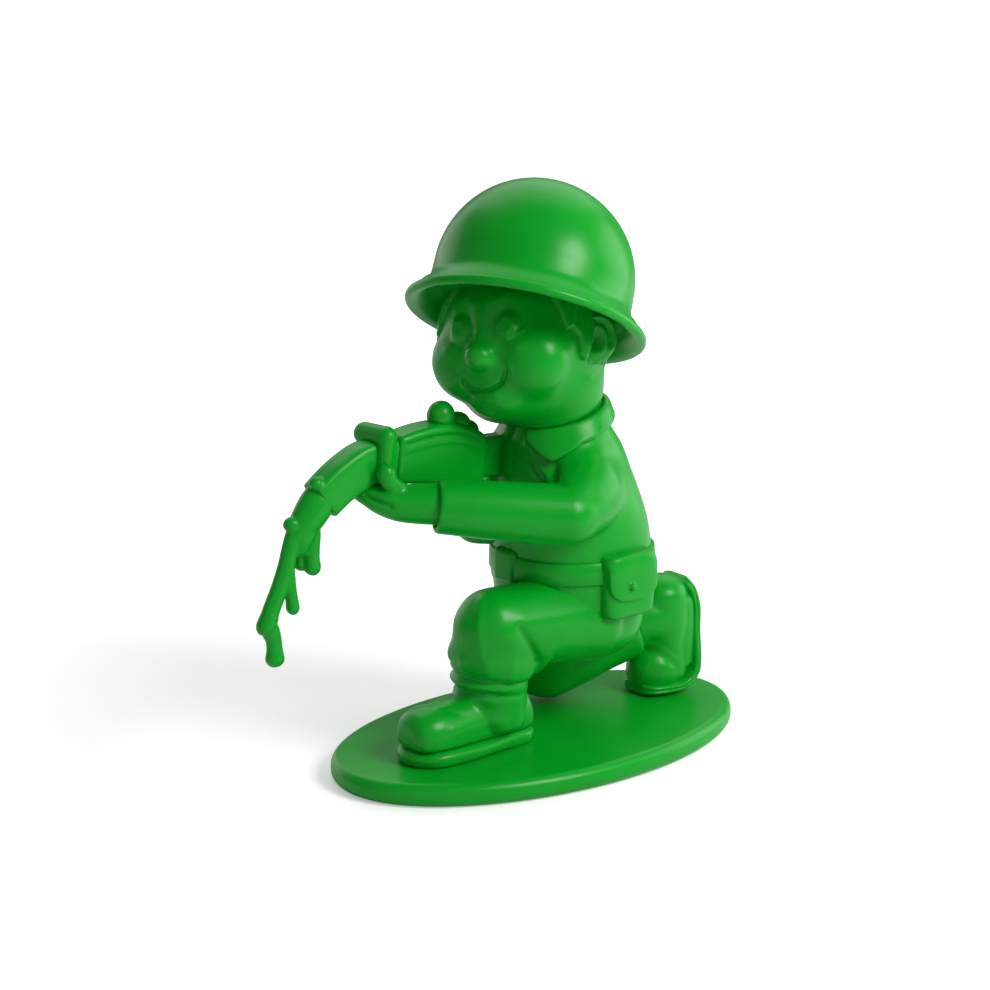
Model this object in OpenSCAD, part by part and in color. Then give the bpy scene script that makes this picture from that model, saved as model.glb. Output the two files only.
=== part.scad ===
// Kneeling toy soldier on an oval base, aiming a rifle whose muzzle melts and drips.
// Frame in millimetres: origin under the middle of the base, +Z up.
// The soldier looks along -Y and the soldier's left hand is towards +X.

/* [Base] */
// Length of the oval base, front to back
base_l = 204; // [190:2:220]
// Width of the oval base
base_w = 120; // [110:2:134]
// Thickness of the base
base_t = 10; // [8:0.5:13]
// Rounding of the base's top edge
base_edge_r = 2.2; // [1:0.2:3]

/* [Stance] */
// Height of the jacket's hem over the base
hip_h = 52; // [49:0.5:55]
// Front to back length that the legs are spread over
stance_l = 200; // [190:1:208]
// Sideways width that the legs are spread over
stance_w = 100; // [94:1:106]

/* [Legs] */
// Width of a thigh at the hip
thigh_w = 38; // [34:1:41]
// Width of a trouser knee
knee_w = 33; // [30:1:36]
// Width of a trouser hem
hem_w = 35; // [33:1:38]
// Width of the kneeling shin near the boot
shin_w = 30; // [27:1:33]

/* [Boots] */
// Length of the standing boot's sole
boot_l = 64; // [60:1:70]
// Width of a boot's sole
boot_w = 27; // [24:1:30]
// Thickness of a sole
sole_t = 6.6; // [5:0.2:8]
// Sole's ledge outside the upper
welt_w = 1.3; // [0.8:0.1:2]
// Height of the toe cap over the sole
toe_h = 14; // [12:0.5:16]
// Front to back width of a boot shaft
shaft_w = 33; // [30:1:35]
// Diameter of the peg under a boot
peg_d = 8; // [6:0.5:10]
// Length of the peg under a boot
peg_l = 5; // [3:0.5:6]

/* [Jacket] */
// Height of the jacket from its hem to the neck
torso_h = 89; // [84:1:95]
// Widest width of the jacket
torso_w = 69; // [64:1:74]
// Widest depth of the jacket
torso_d = 68; // [64:1:73]
// Width of a sleeve at the shoulder
shoulder_w = 36; // [33:1:40]
// Width of a sleeve at the elbow
elbow_w = 25; // [23:0.5:27]
// Width of a cuff
cuff_w = 20; // [18:0.5:22]
// Thickness of a cuff's fold
cuff_t = 1.1; // [0.6:0.1:1.6]
// Length of a cuff's fold
cuff_l = 7; // [5:0.5:9]

/* [Belt and pouches] */
// How far the belt stands out from the jacket
belt_t = 1.5; // [1:0.1:2.2]
// Width of the buckle
buckle_w = 14; // [11:0.5:17]
// Height of the buckle
buckle_h = 15; // [12:0.5:17]
// How far the buckle stands out from the belt
buckle_t = 1.6; // [1:0.1:2.2]
// Length of the hip pouch round the body
pouch_l = 31; // [28:1:35]
// Height of the hip pouch
pouch_h = 27; // [24:1:30]
// Thickness of the hip pouch
pouch_t = 13; // [10:0.5:15]
// Thickness of the pouch's flap
flap_t = 1.4; // [0.8:0.1:2]
// Diameter of the flap's stud
stud_d = 4.4; // [3:0.2:6]
// Size of the small front pouch
small_pouch = 15; // [12:0.5:18]

/* [Neck] */
// Diameter of the neck where it enters the collar
neck_d = 40; // [37:0.5:43]
// Height of the collar's top edge over the neck's seat
collar_h = 3.2; // [2:0.2:4.5]
// Thickness of the collar's fold
collar_t = 2.4; // [1.8:0.1:3]
// How far the fold reaches down
collar_drop = 8; // [6:0.5:10]
// Diameter of the pin that the head turns on
pin_d = 14; // [10:0.5:16]
// Length of the pin in the head
pin_l = 14; // [10:0.5:17]
// Length of the pin in the jacket
pin_root_l = 12; // [9:0.5:15]
// Gap all round between the turning head and what is near it
turn_gap = 0.4; // [0.3:0.05:0.8]
// Gap round the pin
pin_gap = 0.08; // [0.05:0.01:0.12]

/* [Head] */
// Width of the head at the cheeks
head_w = 70; // [66:0.5:74]
// Depth of the head
head_d = 71; // [67:0.5:75]
// Height of the head from chin to crown
head_h = 73; // [69:0.5:77]
// Width of an eye
eye_w = 12; // [10:0.5:13]
// Width of the mouth
mouth_w = 23; // [20:0.5:25]
// Width of the mouth's groove
mouth_groove_w = 2; // [1.4:0.2:2.6]
// Width of the nose
nose_w = 13; // [11:0.5:15]
// Height of an ear
ear_h = 19; // [16:0.5:21]
// Thickness of the hair
hair_t = 1.4; // [1:0.1:2]

/* [Helmet] */
// Diameter of the helmet's dome
dome_d = 86; // [82:0.5:89]
// Diameter over the brim
brim_d = 104; // [100:0.5:108]
// Height of the helmet
helmet_h = 61.5; // [58:0.5:65]
// Thickness of the helmet's wall at the brim
shell_t = 3.4; // [2.6:0.1:4.2]
// Depth of the hollow under the brim
brim_hollow_h = 7; // [5:0.5:9]
// Thickness of the rolled lip
lip_t = 4.6; // [3.6:0.1:5.6]

/* [Rifle] */
// Length of the receiver
receiver_l = 47; // [43:1:51]
// Height of the receiver at the rear
receiver_h = 23; // [20:0.5:26]
// Thickness of the receiver
receiver_w = 14; // [12:0.5:16]
// Length of the handguard before it melts
handguard_l = 37; // [33:1:41]
// Height of the handguard
handguard_h = 18; // [15:0.5:20]
// Height of the stock
stock_h = 18; // [15:0.5:20]
// Thickness of the stock
stock_w = 9; // [7:0.5:11]
// Thickness of the band round the handguard
band_t = 7; // [5:0.5:9]
// How far the band stands out
band_lip_t = 1.6; // [1:0.1:2.4]
// Depth of the lengthwise grooves
groove_t = 0.9; // [0.5:0.1:1.3]
// Fall of the melted strand from the rifle's end
melt_fall = 63; // [55:1:68]
// Thickness of the melted strand
strand_d = 8.2; // [7:0.2:9.4]
// Width of a drip's bulb
drip_d = 6; // [5:0.2:7.4]

/* [Hands] */
// Thickness of a palm
palm_t = 15; // [13:0.5:17]
// Width of a finger
finger_d = 8; // [7:0.2:9]

/* [Hidden] */

green = [0.05, 0.55, 0.14];
round_fn = 64;
sides = 24;
thin_sides = 12;
overrun = 1;
fit_gap = 0.1;
base_sides = 72;

// Joins the lists inside a list.
function flat(lists) = [for (a = lists) for (b = a) b];
// Length one vector along v.
function unit(v) = v / norm(v);
// A value between a and b.
function mix(a, b, t) = a + (b - a) * t;
// Cosine and sine bent towards a box: bend 1 is an ellipse, less is squarer.
function bent(v, bend) = sign(v) * pow(abs(v), bend);
// A smooth row between the rows of a table, t counts in rows.
function spline(rows, t) =
  let (
    last = len(rows) - 1,
    i = min(floor(t), last - 1),
    u = t - i,
    p0 = rows[max(i - 1, 0)],
    p1 = rows[i],
    p2 = rows[i + 1],
    p3 = rows[min(i + 2, last)]
  )
  (2 * p1 + (p2 - p0) * u + (2 * p0 - 5 * p1 + 4 * p2 - p3) * u * u
    + (3 * p1 - p0 - 3 * p2 + p3) * u * u * u) / 2;
// Ring of n points round c, a wide along side and b along rise.
function ring(c, side, rise, a, b, n, bend = 1) =
  [for (i = [0:n - 1]) let (w = 360 * (i + 0.5) / n)
    c + side * a * bent(cos(w), bend) + rise * b * bent(sin(w), bend)];
// Mean of a ring's points.
function middle(r) = [for (k = [0:2]) [for (p = r) p[k]] * [for (p = r) 1] / len(r)];

// Closed skin over a stack of rings.
module skin(rings) {
  n = len(rings[0]);
  m = len(rings);
  points = concat(flat(rings), [middle(rings[0]), middle(rings[m - 1])]);
  walls = [for (j = [0:m - 2]) for (i = [0:n - 1]) let (k = (i + 1) % n)
    for (f = [[j * n + i, (j + 1) * n + i, (j + 1) * n + k], [j * n + i, (j + 1) * n + k, j * n + k]]) f];
  start = [for (i = [0:n - 1]) [m * n, i, (i + 1) % n]];
  end = [for (i = [0:n - 1]) [m * n + 1, (m - 1) * n + (i + 1) % n, (m - 1) * n + i]];
  polyhedron(points = points, faces = concat(walls, start, end));
}

// Tube between two places with a swell, a flattening and domed ends; rise is across the thin way.
module limb(a, b, wa, wb, swell_shares = [1, 1], thin_share = 1, cap_a_share = 1, cap_b_share = 1,
            up = [0, 0, 1], n = sides, steps = 5, bend = 1) {
  dir = unit(b - a);
  side = unit(cross(up, dir));
  rise = cross(dir, side);
  turns = [78, 52, 26];
  starts = [for (w = turns) if (cap_a_share > 0) [-wa / 2 * cap_a_share * sin(w), wa / 2 * cos(w)]];
  walls = [for (j = [0:steps]) let (t = j / steps)
    [norm(b - a) * t, mix(wa, wb, t) / 2 * spline(swell_shares, t * (len(swell_shares) - 1))]];
  ends = [for (j = [2:-1:0]) if (cap_b_share > 0)
    [norm(b - a) + wb / 2 * cap_b_share * sin(turns[j]), wb / 2 * cos(turns[j])]];
  skin([for (s = concat(starts, walls, ends))
    ring(a + dir * s[0], side, rise, s[1], s[1] * thin_share, n, bend)]);
}

// Tube through places given as rows of x, y, z and width, squeezed by thin_share across side.
module strand(rows, steps, n = thin_sides, side = [1, 0, 0], thin_share = 1, bend = 1) {
  last = len(rows) - 1;
  at = [for (j = [0:steps * last]) spline(rows, j / steps)];
  skin([for (j = [0:len(at) - 1])
    let (
      p = at[j],
      q = at[min(j + 1, len(at) - 1)] - at[max(j - 1, 0)],
      dir = unit([q[0], q[1], q[2]]),
      rise = unit(cross(dir, side)),
      out = cross(rise, dir)
    )
    ring([p[0], p[1], p[2]], out, rise, p[3] / 2 * thin_share, p[3] / 2, n, bend)]);
}

// Egg shaped solid at a place with half sizes r.
module egg(c, r, n = thin_sides, turn = [0, 0, 0]) {
  waists = [-78, -52, -26, 0, 26, 52, 78];
  translate(c)
    rotate(turn)
      skin([for (w = waists)
        ring([0, 0, r[2] * sin(w)], [1, 0, 0], [0, 1, 0], r[0] * cos(w), r[1] * cos(w), n)]);
}

// A share of each of three sizes, as a vector.
function part_of(sizes, s) = [for (k = [0:2]) sizes[k] * s[k]];
// Place of the legs from shares of their spread and height.
function place(s) = [0, 0, base_t] + part_of([stance_w, stance_l, hip_h], s);
// Place on the jacket from shares of its own sizes.
function torso_place(s) = torso_foot + part_of([torso_w, torso_d, torso_h], s);

// Everything under a height.
module below(h) {
  translate([-base_w, -base_l, h - base_l])
    cube([2 * base_w, 2 * base_l, base_l]);
}

hip_left = place([0.15, 0.085, 0.96]);
knee_left = place([0.13, -0.178, 1.057]);
hem_left = place([0.09, -0.162, 0.702]);
hip_right = place([-0.15, 0.09, 0.923]);
knee_right = place([-0.24, 0.12, 0.314]);
hem_right = place([-0.09, 0.305, 0.623]);
ankle_right = place([-0.05, 0.37, 0.692]);
torso_foot = place([0, 0.1, 1]);

neck_seat = torso_place([0, -0.132, 0.966]);
shoulder_left = torso_place([0.348, -0.162, 0.755]);
elbow_left = torso_place([0.493, -0.353, 0.601]);
shoulder_right = torso_place([-0.348, -0.132, 0.763]);
elbow_right = torso_place([-0.58, -0.294, 0.607]);
rifle_rear = torso_place([-0.203, -0.609, 0.798]);

head_middle = neck_seat + part_of([head_w, head_d, head_h], [-0.086, -0.211, 0.411]);
helmet_foot = head_middle + part_of([head_w, head_d, head_h], [0.094, -0.031, 0.184]);

palm_left = rifle_rear + part_of([receiver_w, receiver_l, handguard_h], [0.786, -1.098, -0.6]);
palm_right = rifle_rear + part_of([receiver_w, receiver_l, receiver_h], [-0.357, 0.115, -1.335]);
cuff_left = palm_left + palm_t * [0.667, 1, -0.15];
cuff_right = palm_right + palm_t * [-0.8, 0.467, 0.4];

neck_lean = 14;
head_turns = [-16, -9, 25];
face_turn = -3.5;
helmet_turns = [-30, 0, 33];
rifle_pitch = -6;

// Base

// Oval plate with a rounded top edge and a socket under each boot.
module base_plate() {
  edge_turns = [0, 30, 60, 90];
  color(green)
    difference() {
      skin(concat(
        [ring([0, 0, 0], [1, 0, 0], [0, 1, 0], base_w / 2, base_l / 2, base_sides)],
        [for (w = edge_turns) let (inset = base_edge_r * (1 - cos(w)))
          ring([0, 0, base_t - base_edge_r * (1 - sin(w))], [1, 0, 0], [0, 1, 0],
            base_w / 2 - inset, base_l / 2 - inset, base_sides)]));
      for (p = [left_peg, right_peg])
        translate([p[0], p[1], base_t - peg_l - fit_gap])
          cylinder(d = peg_d + 2 * fit_gap, h = peg_l + fit_gap + overrun, $fn = round_fn);
    }
}

// Boots

sole_middle_left = place([0.07, -0.222, 0]);
sole_toe_right = place([-0.04, 0.3, 0]);
left_peg = sole_middle_left;
right_peg = sole_toe_right + [0, boot_w / 2, 0];

// Widths of a sole from heel to toe, as shares of the boot's width.
sole_width_shares = [0.28, 0.7, 0.84, 0.88, 0.95, 1, 0.99, 0.88, 0.62, 0.16];

// Half width of a sole at a share t of its length from the heel.
function sole_half_share(t) = 0.5 * spline(sole_width_shares, pow(t, 0.92) * (len(sole_width_shares) - 1));

// Outline of the standing sole, grown outwards by out.
function sole_outline(out) =
  let (
    rows = 16,
    l = boot_l + 2 * out,
    right = [for (j = [0:rows]) let (t = j / rows)
      [sole_half_share(t) * (boot_w + 2 * out), l / 2 - l * t]]
  )
  concat(right, [for (j = [rows:-1:0]) [-right[j][0], right[j][1]]]);

// Layers of the standing sole, lowest first: bottom, top as shares of its thickness, then inset of the welt.
sole_layer_shares = [[0, 0.12, 0.5], [0.12, 0.44, 0], [0.44, 0.6, 0.6], [0.6, 0.9, 0], [0.9, 1, 0.5]];

module left_boot_sole() {
  color(green)
    union() {
      for (s = sole_layer_shares)
        translate(sole_middle_left + [0, 0, s[0] * sole_t])
          linear_extrude((s[1] - s[0]) * sole_t)
            polygon(sole_outline(-s[2] * welt_w));
      translate([left_peg[0], left_peg[1], base_t - peg_l])
        cylinder(d = peg_d, h = peg_l + sole_t * 0.2, $fn = round_fn);
    }
}

// Rows of the standing upper from heel to toe: way along the sole, half width, height over the sole.
upper_shares = [
  [0.02, 0.62, 0.5], [0.07, 0.8, 1.1], [0.2, 0.86, 1.3], [0.4, 0.88, 1.35],
  [0.55, 0.92, 1.25], [0.7, 0.96, 1.02], [0.84, 0.94, 0.98], [0.93, 0.78, 0.82], [0.985, 0.5, 0.4]
];

module form_left_upper() {
  rows = 16;
  skin([for (j = [0:rows])
    let (
      r = spline(upper_shares, j * (len(upper_shares) - 1) / rows),
      h = r[2] * toe_h,
      low = sole_t
    )
    ring(sole_middle_left + [0, boot_l * (0.5 - r[0]), low], [1, 0, 0], [0, 0, 1],
      r[1] * boot_w / 2 - welt_w, h, sides, 0.82)]);
}

module form_left_shaft() {
  limb(sole_middle_left + [0, boot_l * 0.2, sole_t + toe_h * 0.4], hem_left + [0, 0, hem_w * 0.1],
    shaft_w * 0.93, shaft_w * 0.98, swell_shares = [1, 0.98, 1, 0.98], thin_share = 1.02,
    cap_a_share = 0.3, cap_b_share = 0.1, up = [1, 0, 0]);
}

module left_boot() {
  color(green)
    difference() {
      union() {
        form_left_upper();
        form_left_shaft();
      }
      below(base_t + sole_t);
    }
}

// Places along the bent sole of the kneeling boot, as shares of the boot's length: back, up, width.
bent_sole_shares = [
  [0.0, 0, 0.5], [0.04, 0, 0.8], [0.16, 0, 1], [0.3, 0, 1], [0.4, 0.06, 1],
  [0.445, 0.2, 0.94], [0.445, 0.39, 0.82], [0.43, 0.56, 0.84], [0.395, 0.69, 0.84], [0.36, 0.75, 0.6]
];

function bent_sole_row(t) =
  let (r = spline(bent_sole_shares, t))
  [sole_toe_right[0], sole_toe_right[1] + r[0] * boot_l, base_t + sole_t / 2 + r[1] * boot_l, r[2]];

module form_bent_sole() {
  steps = 2;
  edge_sides = 16;
  last = steps * (len(bent_sole_shares) - 1);
  skin([for (j = [0:last])
    let (
      p = bent_sole_row(j / steps),
      q = bent_sole_row(min(j + 1, last) / steps) - bent_sole_row(max(j - 1, 0) / steps),
      dir = unit([0, q[1], q[2]]),
      rise = cross(dir, [1, 0, 0])
    )
    ring([p[0], p[1], p[2]], [1, 0, 0], rise, p[3] * boot_w / 2, sole_t / 2, edge_sides, 0.6)]);
}

module right_boot_sole() {
  color(green)
    union() {
      difference() {
        form_bent_sole();
        below(base_t);
      }
      translate([right_peg[0], right_peg[1], base_t - peg_l])
        cylinder(d = peg_d, h = peg_l + sole_t / 2, $fn = round_fn);
    }
}

module form_right_upper() {
  toe = sole_toe_right + [0, boot_l * 0.19, sole_t + toe_h * 0.15];
  heel = sole_toe_right + [0, boot_l * 0.2, sole_t + boot_l * 0.57];
  egg(toe + [0, 0, toe_h * 0.1], [boot_w * 0.46, boot_l * 0.21, toe_h * 0.95], sides);
  limb(toe + [0, boot_l * 0.06, 0], heel, boot_w * 0.88, boot_w * 0.86, swell_shares = [1, 0.9, 1.02, 1],
    thin_share = 1.05, cap_a_share = 0.5, cap_b_share = 0.42, up = [0, 1, 0], steps = 7);
}

module form_right_shaft() {
  limb(hem_right, ankle_right, shin_w * 0.86, shin_w * 0.9, swell_shares = [1, 1.03, 1], cap_a_share = 0.1,
    cap_b_share = 0.5);
}

module right_boot() {
  color(green)
    difference() {
      union() {
        form_right_upper();
        form_right_shaft();
      }
      form_bent_sole();
      below(base_t + sole_t / 2);
    }
}

// Trousers

module form_left_leg() {
  limb(hip_left, knee_left, thigh_w, knee_w, swell_shares = [1, 1.03, 1], cap_a_share = 0.6,
    cap_b_share = 0.9);
  limb(knee_left, hem_left, knee_w * 0.98, hem_w, swell_shares = [1, 1.02, 1.04, 1], cap_a_share = 0.9,
    cap_b_share = 0.22, up = [0, 1, 0]);
}

module left_trouser_leg() {
  color(green)
    difference() {
      form_left_leg();
      form_torso(0, belt_high_share, 0);
      form_belt();
      form_left_shaft();
    }
}

module form_right_leg() {
  limb(hip_right, knee_right, thigh_w, knee_w, swell_shares = [1, 1.02, 1], cap_a_share = 0.6,
    cap_b_share = 0.85, up = [0, 1, 0]);
  limb(knee_right, hem_right, knee_w * 0.95, shin_w, swell_shares = [1, 1.02, 0.98, 1], cap_a_share = 0.8,
    cap_b_share = 0.15);
}

module right_trouser_leg() {
  color(green)
    difference() {
      form_right_leg();
      form_torso(0, belt_high_share, 0);
      form_left_leg();
      form_right_shaft();
      form_right_upper();
      below(base_t);
    }
}

module form_seat() {
  egg(torso_foot + [0, torso_d * 0.04, -torso_h * 0.05],
    [torso_w * 0.44, torso_d * 0.42, torso_h * 0.24], sides);
}

module trouser_seat() {
  color(green)
    difference() {
      form_seat();
      form_torso(0, belt_high_share, 0);
      form_left_leg();
      form_right_leg();
    }
}

// Jacket

// Rows of the jacket from its hem to the neck: height, shift back, half width, half depth.
torso_shares = [
  [0, 0.01, 0.485, 0.485], [0.1, 0.01, 0.5, 0.505], [0.2, 0, 0.495, 0.51], [0.31, -0.005, 0.485, 0.505],
  [0.42, -0.01, 0.485, 0.5], [0.54, -0.02, 0.475, 0.485], [0.7, -0.05, 0.45, 0.44],
  [0.82, -0.08, 0.41, 0.385], [0.91, -0.105, 0.35, 0.33], [1.03, -0.13, 0.27, 0.26]
];

torso_last = len(torso_shares) - 1;

// Solid of the jacket between two shares of its height table, grown outwards.
module form_torso(low_share, high_share, grow) {
  steps = round(2 * torso_last * (high_share - low_share));
  skin([for (j = [0:steps])
    let (r = spline(torso_shares, torso_last * mix(low_share, high_share, j / steps)))
    ring(torso_foot + [0, r[1] * torso_d, r[0] * torso_h], [1, 0, 0], [0, 1, 0],
      r[2] * torso_w + grow, r[3] * torso_d + grow, sides, 0.95)]);
}

// Turns its children to the leaning neck, with the neck's seat at zero.
module at_neck() {
  translate(neck_seat)
    rotate([neck_lean, 0, 0])
      children();
}

belt_low_share = 4 / 18;
belt_middle_share = 5 / 18;
belt_high_share = 6 / 18;
belt_cut_share = 1 / 18;

module jacket_skirt() {
  color(green)
    form_torso(0, belt_middle_share, 0);
}

module jacket() {
  color(green)
    difference() {
      form_torso(belt_middle_share, 1, 0);
      at_neck() {
        cylinder(d = torso_w, h = torso_h, $fn = round_fn);
        translate([0, 0, -pin_root_l])
          cylinder(d = pin_d, h = pin_root_l + overrun, $fn = round_fn);
      }
    }
}

module form_belt() {
  form_torso(belt_low_share, belt_high_share, belt_t);
}

module belt() {
  color(green)
    difference() {
      form_belt();
      form_torso(belt_low_share - belt_cut_share, belt_high_share + belt_cut_share, 0);
    }
}

belt_front = torso_foot + [0, -torso_d / 2, torso_h * 0.255];

function box_outline(w, h) =
  [for (a = [15:30:345]) [w / 2 * bent(cos(a), 0.35), h / 2 * bent(sin(a), 0.35)]];

module belt_buckle() {
  depth = buckle_t + belt_t + torso_d * 0.1;
  color(green)
    difference() {
      translate(belt_front + [0, -belt_t - buckle_t, 0])
        rotate([-90, 0, 0])
          linear_extrude(depth)
            polygon(box_outline(buckle_w, buckle_h));
      form_belt();
      form_torso(0, 2 * belt_high_share, 0);
      form_left_leg();
    }
}

// Pouches

pouch_turn = 103;
pouch_middle = torso_foot + [torso_w * 0.49, torso_d * 0.03, torso_h * 0.17];

module at_pouch() {
  translate(pouch_middle)
    rotate([0, 0, pouch_turn])
      children();
}

// Soft edged box for a pouch, its thin way along y.
module form_pouch(l, t, h, grow, low_share = 0) {
  rows = [[0, 0.78], [0.05, 0.95], [0.16, 1], [0.5, 1.02], [0.84, 0.99], [0.95, 0.93], [1, 0.78]];
  skin([for (r = rows) if (r[0] >= low_share)
    ring([0, 0, h * (r[0] - 0.5) + (r[0] == 0 ? -grow : 0) + (r[0] == 1 ? grow : 0)], [1, 0, 0], [0, 1, 0],
      l / 2 * r[1] + grow, t / 2 * r[1] + grow, sides, 0.5)]);
}

module form_hip_pouch(grow, low_share = 0) {
  at_pouch()
    form_pouch(pouch_l, pouch_t, pouch_h, grow, low_share);
}

module hip_pouch() {
  color(green)
    difference() {
      form_hip_pouch(0);
      form_torso(0, 2 * belt_high_share, 0);
      form_belt();
      form_left_leg();
    }
}

module hip_pouch_flap() {
  color(green)
    difference() {
      union() {
        intersection() {
          form_hip_pouch(flap_t);
          at_pouch()
            translate([0, 0, pouch_h * 0.5])
              rotate([90, 0, 0])
                translate([0, 0, -pouch_t])
                  linear_extrude(2 * pouch_t)
                    polygon(flap_outline());
        }
        at_pouch()
          translate([pouch_l * 0.12, -pouch_t / 2 - flap_t - stud_d * 0.22, pouch_h * 0.02])
            sphere(d = stud_d, $fn = 32);
      }
      form_hip_pouch(0);
      form_torso(0, 2 * belt_high_share, 0);
      form_belt();
      form_left_leg();
    }
}

// Outline of the flap, hanging from the pouch's top edge to a round low point.
function flap_outline() =
  concat(
    [[pouch_l, pouch_h], [-pouch_l, pouch_h], [-pouch_l, -pouch_h * 0.35]],
    [for (j = [0:8]) let (t = j / 4 - 1)
      [t * pouch_l * 0.55, -pouch_h * (0.35 + 0.33 * pow(1 - t * t, 0.6))]],
    [[pouch_l, -pouch_h * 0.35]]
  );

module front_pouch() {
  color(green)
    difference() {
      translate(belt_front + [-torso_w * 0.34, torso_d * 0.19, -small_pouch * 0.35])
        rotate([0, 0, -32])
          form_pouch(small_pouch, small_pouch * 0.7, small_pouch, 0);
      form_torso(0, 2 * belt_high_share, 0);
      form_belt();
    }
}

// Collar, turning from one side of its front opening to the other.
collar_open = 17;
collar_tip = 42;

// Share of the full fold at an azimuth from the front.
function fold_share(w) =
  w < collar_tip ? mix(0.25, 1, (w - collar_open) / (collar_tip - collar_open)) : 1;
function tip_share(w) = max(0, 1 - abs(w - collar_tip) / 30);

module form_collar() {
  stations = 24;
  inner_r = neck_d / 2 + turn_gap;
  at_neck()
    skin([for (j = [0:stations])
      let (
        w = mix(360 - collar_open, collar_open, j / stations),
        v = min(w, 360 - w),
        fold = fold_share(v),
        tip = tip_share(v),
        drop = collar_drop * (fold + tip * 0.45),
        flare = mix(0.8, 0.3, (1 - cos(w)) / 2),
        wide = inner_r + collar_t + (collar_drop * flare + tip * collar_t) * fold,
        dir = [sin(w), -cos(w), 0],
        up = [0, 0, 1]
      )
      [
        dir * inner_r - up * drop,
        dir * (wide - collar_t) - up * (drop + collar_t / 2),
        dir * wide - up * drop,
        dir * (wide + collar_t * 0.2) - up * (drop - collar_t * 0.6),
        dir * (inner_r + collar_t * 1.3) + up * (collar_h * 0.55),
        dir * (inner_r + collar_t * 0.9) + up * (collar_h * 0.92),
        dir * (inner_r + collar_t * 0.4) + up * collar_h,
        dir * inner_r + up * (collar_h * 0.8)
      ]]);
}

module collar() {
  color(green)
    difference() {
      form_collar();
      form_torso(belt_middle_share, 1, 0);
    }
}

// Arms

module form_sleeve(shoulder, elbow, cuff) {
  dir = unit(cuff - elbow);
  limb(shoulder, elbow, shoulder_w, elbow_w, swell_shares = [1, 1.02, 1], cap_a_share = 0.8,
    cap_b_share = 0.85);
  limb(elbow, cuff - dir * cuff_l * 0.5, elbow_w, cuff_w, swell_shares = [1, 1.03, 1], cap_a_share = 0.9,
    cap_b_share = 0);
  limb(cuff - dir * cuff_l, cuff, cuff_w + 2 * cuff_t, cuff_w + 2.6 * cuff_t, cap_a_share = 0, cap_b_share = 0,
    steps = 1);
}

module left_sleeve() {
  color(green)
    difference() {
      form_sleeve(shoulder_left, elbow_left, cuff_left);
      form_torso(0, 1, 0);
      form_collar();
      form_palm(cuff_left, palm_left);
    }
}

module right_sleeve() {
  color(green)
    difference() {
      form_sleeve(shoulder_right, elbow_right, cuff_right);
      form_torso(0, 1, 0);
      form_collar();
      form_palm(cuff_right, palm_right);
    }
}

module form_palm(cuff, palm) {
  limb(mix(cuff, palm, -0.25), palm, palm_t * 0.95, palm_t * 1.25, swell_shares = [1, 1, 1.05, 1],
    thin_share = 0.82, cap_a_share = 0.1, cap_b_share = 0.6, n = 18, steps = 4);
}

// Finger of rounded links through places, each with its own width.
module finger(places, widths) {
  for (j = [0:len(places) - 2])
    hull()
      for (k = [j, j + 1])
        translate(places[k])
          sphere(d = widths[k], $fn = 12);
}

// Places along the four fingers under the handguard, shares of the palm's thickness: side, back, up.
under_shares = [[0.3, 0, -0.1], [-0.35, 0, -0.12], [-0.8, 0, 0.2], [-0.92, 0, 0.6]];
thumb_shares = [[0.1, 0.55, -0.1], [0.5, 0.35, 0.35], [0.55, 0, 0.95]];
// The same for the three fingers round the grip.
grip_shares = [[-0.2, -0.4, 0], [0.35, -0.55, 0.02], [0.85, -0.35, 0.02]];

module left_hand() {
  d = finger_d;
  color(green)
    difference() {
      union() {
        form_palm(cuff_left, palm_left);
        for (k = [0:3])
          let (knuckle = palm_left + palm_t * [0, 0.55 - 0.36 * k, 0.1 * k - 0.03])
            finger([for (s = under_shares) knuckle + palm_t * s], [d, d, d, 0.8 * d]);
        finger([for (s = thumb_shares) palm_left + palm_t * s], [1.3 * d, 1.2 * d, d]);
      }
      form_receiver();
      form_band();
      form_handguard();
    }
}

module right_hand() {
  d = finger_d;
  color(green)
    difference() {
      union() {
        form_palm(cuff_right, palm_right);
        for (k = [0:3])
          let (knuckle = palm_right + palm_t * [0, 0, 0.42 * k - 0.45])
            finger([for (s = grip_shares) knuckle + palm_t * s], [d, d, 0.85 * d]);
      }
      form_receiver();
      form_grip();
      form_stock();
      form_torso(0, 1, 0);
    }
}

// Rifle, drawn with its muzzle along -Y and then pitched up.

module at_rifle() {
  translate(rifle_rear)
    rotate([rifle_pitch, 0, 0])
      children();
}

// Extrudes a side outline of back, up points across the rifle's thickness.
module slab(points, w) {
  rotate([90, 0, 90])
    translate([0, 0, -w / 2])
      linear_extrude(w)
        polygon(points);
}

// Side outline of the receiver, its top edge arched.
function receiver_outline() =
  concat(
    [[0, -receiver_h * 0.52], [0, receiver_h * 0.34]],
    [for (j = [1:6]) let (t = j / 6)
      [-receiver_l * t, receiver_h * (0.34 + 0.34 * sin(150 * pow(t, 0.7)) - 0.06 * t)]],
    [[-receiver_l, -receiver_h * 0.42]]
  );

module form_receiver() {
  at_rifle()
    slab(receiver_outline(), receiver_w);
}

module rifle_receiver() {
  color(green)
    at_rifle()
      difference() {
        slab(receiver_outline(), receiver_w);
        for (side = [-1, 1])
          for (up = [-0.12, 0.14])
            translate([side * (receiver_w / 2 + groove_t), 0, receiver_h * up])
              rotate([90, 0, 0])
                translate([0, 0, receiver_l * 0.06])
                  cylinder(d = 4 * groove_t, h = receiver_l * 0.86, $fn = 16);
      }
}

module form_stock() {
  at_rifle()
    slab([[torso_d * 0.32, -stock_h * 0.62], [torso_d * 0.32, stock_h * 0.5],
      [0, stock_h * 0.42], [0, -stock_h * 0.5]], stock_w);
}

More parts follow.
